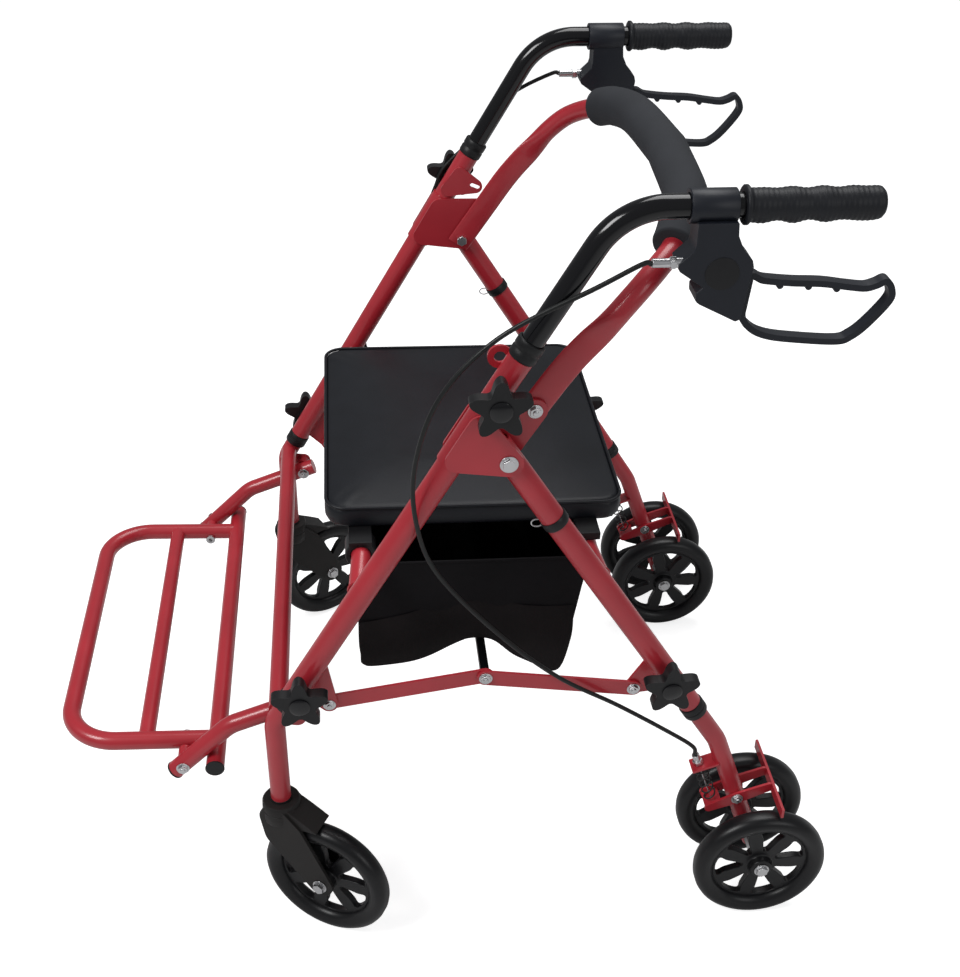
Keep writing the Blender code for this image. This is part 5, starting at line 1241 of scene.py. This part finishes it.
@dataclass
class Seat:
    """The seat board with its rings, and the vinyl cushion over it."""

    half_width: float = 0.177
    front: float = -0.121
    rear: float = 0.1905
    low: float = 0.4665
    top: float = 0.4925
    corner: float = 0.022
    tilt: float = math.radians(0.85)

    def build(self) -> None:
        """Makes the board, the cushion and the piping."""
        self.board()
        cushion = self.cushion()
        self.piping()
        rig.padded(cushion, fill=0.9)

    @property
    def lean(self) -> Matrix:
        """The seat's slight fall to the rear, about its middle."""
        middle = Vector((0, (self.front + self.rear) / 2, 0.466))
        return Matrix.Translation(middle) @ Matrix.Rotation(-self.tilt, 4, "X") @ Matrix.Translation(-middle)

    def rim(self, inset: float, z: float, steps: int = 10) -> list[Vector]:
        """The seat's rounded outline at a height.

        Args:
            inset: How far the outline is drawn in.
            z: Height of the outline.
            steps: Steps in each corner.

        Returns:
            The outline's points.
        """
        radius = max(0.006, self.corner - inset * 0.2)
        wide, front, rear = self.half_width - inset, self.front + inset, self.rear - inset
        loop = []
        for turn, cx, cy in ((0, wide, rear), (1, -wide, rear), (2, -wide, front), (3, wide, front)):
            mx, my = cx - math.copysign(radius, cx), cy - math.copysign(radius, cy - (front + rear) / 2)
            for step in range(steps + 1):
                angle = math.pi / 2 * (turn + step / steps)
                loop.append(self.lean @ Vector((mx + radius * math.cos(angle), my + radius * math.sin(angle), z)))
        return loop

    def board(self) -> None:
        """The board's underside with the hinge rings and rests."""
        shape = Shape().box((-0.168, -0.112, 0.4662), (0.168, 0.181, 0.4700), self.lean)
        for side in Side:
            ring_start, ring_end = at(side, 0.177, FRONT_SEAT_TUBE), at(side, 0.203, FRONT_SEAT_TUBE)
            shape.turned([(0.0105, 0.0), (0.0150, 0.0), (0.0160, 0.0012), (0.0160, 0.0248), (0.0150, 0.026),
                          (0.0105, 0.026)], facing(ring_start, ring_end), 48)
            x = side.value
            shape.box((x * 0.157, FRONT_SEAT_TUBE.x - 0.012, 0.4632), (x * 0.203, FRONT_SEAT_TUBE.x + 0.012, 0.4692))
            shape.box((x * 0.157, REAR_SEAT_TUBE.x - 0.012, 0.4602), (x * 0.203, REAR_SEAT_TUBE.x + 0.012, 0.4692))
        shape.piece("seat_board_look", BLACK, "seat", ["seat_board"], bevel=0.0012)

    def cushion(self) -> bpy.types.Object:
        """The vinyl cushion, puffed a little by a cloth run.

        Returns:
            The cushion.
        """
        shape = Shape()
        levels = [(0.004, self.low - 0.0003), (0.0008, self.low + 0.003), (0.0, self.low + 0.010),
                  (0.0004, self.top - 0.006), (0.0022, self.top - 0.0022), (0.0062, self.top),
                  (0.060, self.top + 0.0012), (0.110, self.top + 0.0018)]
        rings = []
        for inset, z in levels:
            loop = self.rim(inset, z)
            verts = [shape.work.verts.new(p) for p in loop]
            rings.append([shape.work.edges.new((verts[i - 1], verts[i])) for i in range(len(verts))])
        for below, above in zip(rings, rings[1:]):
            bmesh.ops.bridge_loops(shape.work, edges=below + above)
        bmesh.ops.holes_fill(shape.work, edges=rings[0] + rings[-1], sides=0)
        item = shape.piece("seat_cushion_look", VINYL, "seat", ["seat_cushion"], levels=0 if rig.quick() else 1,
                           angle=60.0)
        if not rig.quick():
            self.puff(item)
        return item

    def puff(self, item: bpy.types.Object) -> None:
        """Fills the cushion by a short cloth run under pressure.

        Args:
            item: The cushion, whose mesh is replaced by the puffed one.
        """
        graph = bpy.context.evaluated_depsgraph_get
        copy = bpy.data.objects.new("stuffing", item.data.copy())
        bpy.context.scene.collection.objects.link(copy)
        voxel = copy.modifiers.new("voxels", "REMESH")
        voxel.mode = "VOXEL"
        voxel.voxel_size = 0.005
        fine = bpy.data.meshes.new_from_object(copy.evaluated_get(graph()))
        copy.modifiers.clear()
        copy.data = fine
        held = copy.vertex_groups.new(name="held")
        level = self.lean.inverted()
        wide, front, rear = self.half_width - 0.008, self.front + 0.008, self.rear - 0.008
        free = {v.index for v in fine.vertices
                if (level @ v.co).z > self.top - 0.003 and abs(v.co.x) < wide and front < v.co.y < rear}
        held.add([v.index for v in fine.vertices if v.index not in free], 1.0, "REPLACE")
        before = [v.co.copy() for v in fine.vertices]
        cloth = copy.modifiers.new("cloth", "CLOTH")
        cloth.settings.use_pressure = True
        cloth.settings.uniform_pressure_force = 4.0
        cloth.settings.effector_weights.gravity = 0.0
        cloth.settings.vertex_group_mass = "held"
        cloth.settings.tension_stiffness = 30.0
        cloth.point_cache.frame_end = 20
        for frame in range(1, 21):
            bpy.context.scene.frame_set(frame)
        after = bpy.data.meshes.new_from_object(copy.evaluated_get(graph()))
        cap = 0.004
        for vert, old in zip(after.vertices, before):
            move = vert.co - old
            vert.co = old + move * min(1.0, cap / max(move.length, 1e-9))
        copy.modifiers.clear()
        bpy.data.objects.remove(copy)
        bpy.context.scene.frame_set(1)
        after.materials.clear()
        after.materials.append(VINYL.material())
        after.shade_smooth()
        item.data = after

    def piping(self) -> None:
        """The piping round the top edge."""
        Shape().sweep(self.rim(0.0018, self.top - 0.0018, 14), 0.0018, 12, closed=True).piece(
            "seat_piping", VINYL, "seat")


@dataclass
class Backrest:
    """The backrest tube, pressed flat at its ends, with the foam sleeve."""

    body: str = "front_frame"

    def route(self) -> list[Vector]:
        """The tube's left half, from its flat end to the middle."""
        return [at(Side.LEFT, 0.2438, PIVOT + Vector((-0.0045, -0.0066))), at(Side.LEFT, 0.2438, ARM_BOLT),
                Vector((0.2438, 0.1115, 0.6880)), Vector((0.2434, 0.1410, 0.7235)), Vector((0.2415, 0.1570, 0.7430)),
                Vector((0.2340, 0.1750, 0.7610)), Vector((0.2200, 0.1920, 0.7735)), Vector((0.200, 0.209, 0.7835)),
                Vector((0.170, 0.222, 0.794)), Vector((0.120, 0.237, 0.799)), Vector((0.0, 0.244, 0.803))]

    def build(self) -> None:
        """Makes the tube and the foam."""
        half = self.route()
        full = smooth(half, 10)
        line = full + [Vector((-p.x, p.y, p.z)) for p in reversed(full[:-1])]
        shape = Shape().sweep(line, 0.011, 32)
        self.press(shape, half[0], half[4])
        shape.piece("backrest_bar_look", RED, self.body, ["backrest_bar"], angle=50.0)
        soft = [p for p in full if p.x <= 0.2003]
        sleeve = soft + [Vector((-p.x, p.y, p.z)) for p in reversed(soft[:-1])]
        foam = Shape().sweep(sleeve, 0.0215, 48).piece("backrest_foam_look", FOAM, self.body, ["backrest_foam"],
                                                       bevel=0.0045, angle=60.0)
        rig.padded(foam, fill=1.0)

    @staticmethod
    def press(shape: Shape, start: Vector, full: Vector) -> None:
        """Flattens the tube's ends across X and spreads them in the side view.

        Args:
            shape: The tube.
            start: Where the left end starts.
            full: Where the tube is round again.
        """
        line = Vector((full.y - start.y, full.z - start.z)).normalized()
        off_line = Vector((-line.y, line.x))
        length = (full - start).length
        for vert in shape.work.verts:
            place = Vector((vert.co.y - start.y, vert.co.z - start.z))
            along = place.dot(line)
            share = min(1.0, max(0.0, (along / length - 0.76) / 0.24))
            share = share * share * (3 - 2 * share)
            if share >= 1.0 or abs(vert.co.x) < 0.2:
                continue
            sign = 1 if vert.co.x > 0 else -1
            middle = sign * start.lerp(full, min(1.0, max(0.0, along / length))).x
            thin, wide = 0.2273, 1.2727
            vert.co.x = middle + (vert.co.x - middle) * (thin + (1 - thin) * share)
            off = place.dot(off_line) * (wide + (1 - wide) * share)
            spot = line * along + off_line * off
            vert.co.y, vert.co.z = start.y + spot.x, start.z + spot.y


@dataclass
class Bag:
    """The nylon bag under the seat: an open shell with bulging side panels and pouches."""

    body: str = "front_frame"
    half_width: float = 0.2035
    profile: tuple[tuple[float, float], ...] = (
        (-0.087, 0.4425), (-0.0905, 0.405), (-0.092, 0.360), (-0.091, 0.318), (-0.081, 0.3045), (-0.040, 0.309),
        (0.010, 0.329), (0.0275, 0.3366), (0.0515, 0.3366), (0.075, 0.312), (0.093, 0.299), (0.116, 0.2855),
        (0.1295, 0.293), (0.137, 0.330), (0.145, 0.385), (0.1525, 0.4392))

    def build(self) -> None:
        """Makes the shell, the hems and the pouches."""
        line = smooth([Vector(p) for p in self.profile], 5)
        shell = self.shell(line)
        pieces = [self.pouch(side, line) for side in Side] + [self.hem(line)]
        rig.sheet(shell, (0.68, 0.50), "hung", rests_on=("cross_rod",), area=0.270, with_pieces=pieces)
        for piece in (shell, *pieces):
            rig.squash(piece, "rear_fold", (0.0, 1.0, 0.0), (0.0, self.profile[2][0], 0.36), keep=0.50)

    def shell(self, line: Sequence[Vector]) -> bpy.types.Object:
        """The bag's single skin: floor and walls, closed by the two side panels.

        Args:
            line: The floor and walls' profile in the side view.

        Returns:
            The shell.
        """
        shape = Shape()
        count, rows = 30, 12
        total = len(line) - 1
        grid = []
        for i in range(count + 1):
            x = self.half_width * (2 * i / count - 1)
            row = []
            for j, point in enumerate(line):
                edge = 1 - (2 * i / count - 1) ** 8
                sag = 0.0022 * noise.noise(Vector((x * 14, point.x * 22, point.y * 22))) * edge
                inward = Vector((0.03, 0.375)) - point
                row.append(shape.work.verts.new(
                    at(Side.LEFT, x, point + inward.normalized() * (0.0012 + sag + 0.001 * edge))))
            grid.append(row)
        for first, second in zip(grid, grid[1:]):
            for j in range(total):
                shape.work.faces.new((first[j], first[j + 1], second[j + 1], second[j]))
        for side, row in ((Side.RIGHT, grid[0]), (Side.LEFT, grid[-1])):
            self.panel(shape, side, line, row, rows)
        return shape.piece("bag_look", NYLON, self.body, ["bag"], levels=0 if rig.quick() else 1, angle=70.0)

    def panel(self, shape: Shape, side: Side, line: Sequence[Vector], row: Sequence[bmesh.types.BMVert],
              rows: int) -> None:
        """One side panel between the profile and the open top."""
        total = len(line) - 1
        above = list(row)
        for step in range(1, rows + 1):
            share = step / rows
            level = []
            for j in range(total + 1):
                if j in (0, total):
                    level.append(above[j])
                    continue
                rim = line[0].lerp(line[-1], j / total)
                spot = Vector(line[j]).lerp(rim, share)
                bulge = 0.0035 * math.sin(math.pi * share ** 0.8) * math.sin(math.pi * j / total)
                bulge += 0.0018 * noise.noise(Vector((spot.x * 26, spot.y * 26, side.value * 3.1)))
                level.append(shape.work.verts.new(at(side, self.half_width + bulge, spot)))
            for j in range(total):
                corners = [above[j], above[j + 1], level[j + 1], level[j]]
                face = list(dict.fromkeys(corners))
                if len(face) > 2:
                    shape.work.faces.new(face)
            above = level

    def pouch(self, side: Side, line: Sequence[Vector]) -> bpy.types.Object:
        """The lower skirt on a side, with a wavy top edge and soft folds.

        Args:
            side: The side it hangs on.
            line: The bag's profile.

        Returns:
            The pouch.
        """
        shape = Shape()
        columns, rows = 44, 16
        grid = []
        low = sorted((p.x, p.y) for p in line if p.y < 0.345)
        for i in range(columns + 1):
            share = i / columns
            y = -0.0895 + share * 0.2275
            floor = self.level(low, y) + 0.003 + 0.0016 * math.sin(share * 17)
            brim = 0.3860 + 0.0080 * math.sin(math.tau * (share * 1.1 - 0.28)) - 0.010 * (1 - share) ** 2
            row = []
            for j in range(rows + 1):
                rise = j / rows
                fold = 0.0016 * math.sin(share * 23 + rise * 2.5) * (0.4 + 0.6 * rise)
                puff = 0.0045 * math.sin(math.pi * min(1.0, rise * 0.9 + 0.1)) + 0.0006
                x = self.half_width + 0.0022 + puff + fold * math.sin(math.pi * share)
                row.append(shape.work.verts.new(at(side, x, (y, floor + (brim - floor) * rise))))
            grid.append(row)
        for first, second in zip(grid, grid[1:]):
            for j in range(rows):
                shape.work.faces.new((first[j], first[j + 1], second[j + 1], second[j]))
        item = shape.piece(f"bag_pouch_{side.tag}", POUCH, self.body, levels=0 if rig.quick() else 1, angle=70.0)
        return item

    @staticmethod
    def level(points: Sequence[tuple[float, float]], y: float) -> float:
        """Height of a chain of points at y, held level beyond its ends."""
        for (y0, z0), (y1, z1) in zip(points, points[1:]):
            if y0 <= y <= y1 and y1 > y0:
                return z0 + (z1 - z0) * (y - y0) / (y1 - y0)
        return points[0][1] if y < points[0][0] else points[-1][1]

    def hem(self, line: Sequence[Vector]) -> bpy.types.Object:
        """The bound edge of the open top."""
        inset = self.half_width
        points = [at(Side.LEFT, inset, line[0]), at(Side.LEFT, inset, line[-1]),
                  at(Side.RIGHT, inset, line[-1]), at(Side.RIGHT, inset, line[0])]
        loop = []
        for start, end in zip(points, points[1:] + points[:1]):
            loop += [start.lerp(end, i / 12) for i in range(12)]
        return Shape().sweep(loop, 0.0016, 8, closed=True).piece("bag_hem", NYLON, self.body)


@dataclass
class BrakeCable:
    """One brake cable, held from the housing's barrel to the ferrule at the wheel."""

    side: Side
    radius: float = 0.0023
    tail: tuple[tuple[float, float, float], ...] = (
        (0.271, 0.114, 0.336), (0.268, 0.181, 0.289), (0.264, 0.240, 0.243))
    bowed: tuple[tuple[float, float, float], ...] = (
        (0.277, 0.127, 0.782), (0.2795, 0.042, 0.737), (0.2805, -0.010, 0.679), (0.2800, -0.033, 0.606),
        (0.2795, -0.031, 0.539), (0.2775, -0.010, 0.479), (0.274, 0.050, 0.400))
    close: tuple[tuple[float, float, float], ...] = (
        (0.2765, 0.1263, 0.783), (0.2785, 0.0905, 0.757), (0.2798, 0.0660, 0.7175), (0.2802, 0.0440, 0.6945),
        (0.2803, 0.0315, 0.679), (0.2803, 0.0240, 0.659), (0.2805, 0.0020, 0.6040), (0.2803, -0.0290, 0.5500),
        (0.2795, -0.0560, 0.4990), (0.2790, -0.0700, 0.4540), (0.2780, -0.0550, 0.4200), (0.2760, 0.0050, 0.3920))

    def build(self) -> None:
        """Makes the cable in three lengths, each bending at one joint."""
        left = self.side is Side.LEFT
        middle = self.bowed if left else self.close
        named = [(0.275, 0.1717, 0.801), (0.275, 0.1637, 0.801), *middle, *self.tail]
        points = [Vector((self.side.value * x, y, z)) for x, y, z in named]
        points += [at(self.side, LEG_X, on_insert(0.0, BRAKE_OFFSET)), at(self.side, LEG_X, on_insert(0.0137, BRAKE_OFFSET))]
        line = smooth(points, 10)
        first = 50 if left else 80
        second = 10 * (len(points) - 3)
        tag = self.side.tag
        spans = ((line[:first + 1], f"handle_{tag}", "front_frame"), (line[first:second + 1], "front_frame", "rear_frame"),
                 (line[second:], "rear_frame", f"rear_lower_{tag}"))
        for index, (route, start, end) in enumerate(spans):
            item = Shape().sweep(route, self.radius, 20)
            node = [f"brake_cable_{tag}"] if index == 0 else []
            made = item.piece(f"brake_cable_{tag}_{index}", SHEATH, "front_frame", node, angle=60.0)
            made.parent = None
            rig.blend(made, start, end, route[0], route[-1])


class Studio:
    """The pale floor, the soft light and the camera."""

    @staticmethod
    def build() -> None:
        """Makes everything that is not the object."""
        Studio.floor()
        Studio.light()
        Studio.camera()

    @staticmethod
    def floor() -> None:
        """A wide pale floor that meets a backdrop of the same tone."""
        mesh = bpy.data.meshes.new("floor")
        work = bmesh.new()
        bmesh.ops.create_grid(work, x_segments=1, y_segments=1, size=14.0)
        work.to_mesh(mesh)
        work.free()
        ground = bpy.data.objects.new("floor", mesh)
        bpy.context.scene.collection.objects.link(ground)
        pale = bpy.data.materials.new("floor_pale")
        pale.use_nodes = True
        shader = pale.node_tree.nodes["Principled BSDF"]
        shader.inputs["Base Color"].default_value = (0.70, 0.70, 0.70, 1.0)
        shader.inputs["Roughness"].default_value = 0.85
        shader.inputs["Emission Color"].default_value = (1.0, 1.0, 1.0, 1.0)
        ray = pale.node_tree.nodes.new("ShaderNodeLightPath")
        glow = pale.node_tree.nodes.new("ShaderNodeMath")
        glow.operation = "MULTIPLY"
        glow.inputs[1].default_value = 0.78
        pale.node_tree.links.new(ray.outputs["Is Camera Ray"], glow.inputs[0])
        pale.node_tree.links.new(glow.outputs["Value"], shader.inputs["Emission Strength"])
        mesh.materials.append(pale)
        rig.stage(ground)

    @staticmethod
    def light() -> None:
        """A bright world and three large soft lamps."""
        world = bpy.data.worlds.new("studio")
        bpy.context.scene.world = world
        world.use_nodes = True
        tree = world.node_tree
        shade = tree.nodes["Background"]
        shade.inputs["Color"].default_value = (0.95, 0.97, 1.0, 1.0)
        shade.inputs["Strength"].default_value = 0.24
        white = tree.nodes.new("ShaderNodeBackground")
        white.inputs["Color"].default_value = (1.0, 1.0, 1.0, 1.0)
        white.inputs["Strength"].default_value = 1.0
        ray = tree.nodes.new("ShaderNodeLightPath")
        mix = tree.nodes.new("ShaderNodeMixShader")
        tree.links.new(ray.outputs["Is Camera Ray"], mix.inputs[0])
        tree.links.new(shade.outputs["Background"], mix.inputs[1])
        tree.links.new(white.outputs["Background"], mix.inputs[2])
        tree.links.new(mix.outputs["Shader"], tree.nodes["World Output"].inputs["Surface"])
        lamps = (("key", (1.2, -2.0, 2.8), 56.0, 1.2), ("fill", (2.4, 2.0, 1.8), 13.0, 1.4),
                 ("top", (-0.8, 0.6, 3.0), 38.0, 1.6))
        for name, place, power, size in lamps:
            lamp = bpy.data.lights.new(name, "AREA")
            lamp.energy = power
            lamp.size = size
            item = bpy.data.objects.new(name, lamp)
            item.matrix_world = (Matrix.Translation(Vector(place))
                                 @ (Vector(place) - Vector((0, 0, 0.4))).to_track_quat("Z", "Y").to_matrix().to_4x4())
            bpy.context.scene.collection.objects.link(item)
            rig.stage(item)

    @staticmethod
    def camera() -> None:
        """The camera, high at the left front corner."""
        lens = bpy.data.cameras.new("view")
        lens.sensor_fit = "VERTICAL"
        lens.sensor_height = 36.0
        lens.lens = 49.69
        lens.shift_y = -0.0169
        item = bpy.data.objects.new("view", lens)
        right, up = Vector((0.0959, 0.9952, 0.0165)), Vector((-0.5426, 0.0384, 0.8391))
        back = Vector((0.8345, -0.0895, 0.5437))
        turn = Matrix((right, up, back)).transposed().to_4x4()
        item.matrix_world = Matrix.Translation((1.3167, -0.0838, 1.2749)) @ turn
        bpy.context.scene.collection.objects.link(item)
        bpy.context.scene.camera = item


def note_size(stage: str) -> None:
    """Args:
        stage: Which moment the bounds are from.
    """
    path = "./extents.json"
    found = {}
    if stage != "cad":
        with open(path, encoding="utf-8") as file:
            found = json.load(file)
    low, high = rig.bounds()
    found[stage] = [list(low), list(high)]
    with open(path, "w", encoding="utf-8") as file:
        json.dump(found, file)


def main() -> None:
    """Builds the looks over the frame."""
    logging.basicConfig(level=logging.WARNING)
    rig.load()
    note_size("cad")
    bpy.context.scene.view_settings.view_transform = "Standard"
    builders: list[Callable[[], None]] = [MainFrame().build, RearFrame().build, RearLower().build, LowerFrame().build,
                                          Footrest().build, Seat().build, Backrest().build, Bag().build]
    for side in Side:
        builders += [Handle(side).build, Caster(side).build, BrakeCable(side).build]
        for label, spot in (("upper", (0.0436, 0.672)), ("front", (-0.152, 0.336)), ("rear", (0.230, 0.330))):
            builders.append(Knob(f"{label}_knob_{side.tag}", side, Vector(spot)).build)
        for label, offset in (("outer", 0.045), ("inner", -0.045)):
            centre = at(side, LEG_X + offset, REAR_HUB)
            builders.append(Wheel(f"rear_wheel_{side.tag}_{label}", centre, Vector((1, 0, 0)), 0.025).build)
    for build in builders:
        build()
    Studio.build()
    note_size("dressed")


if __name__ == "__main__":
    main()
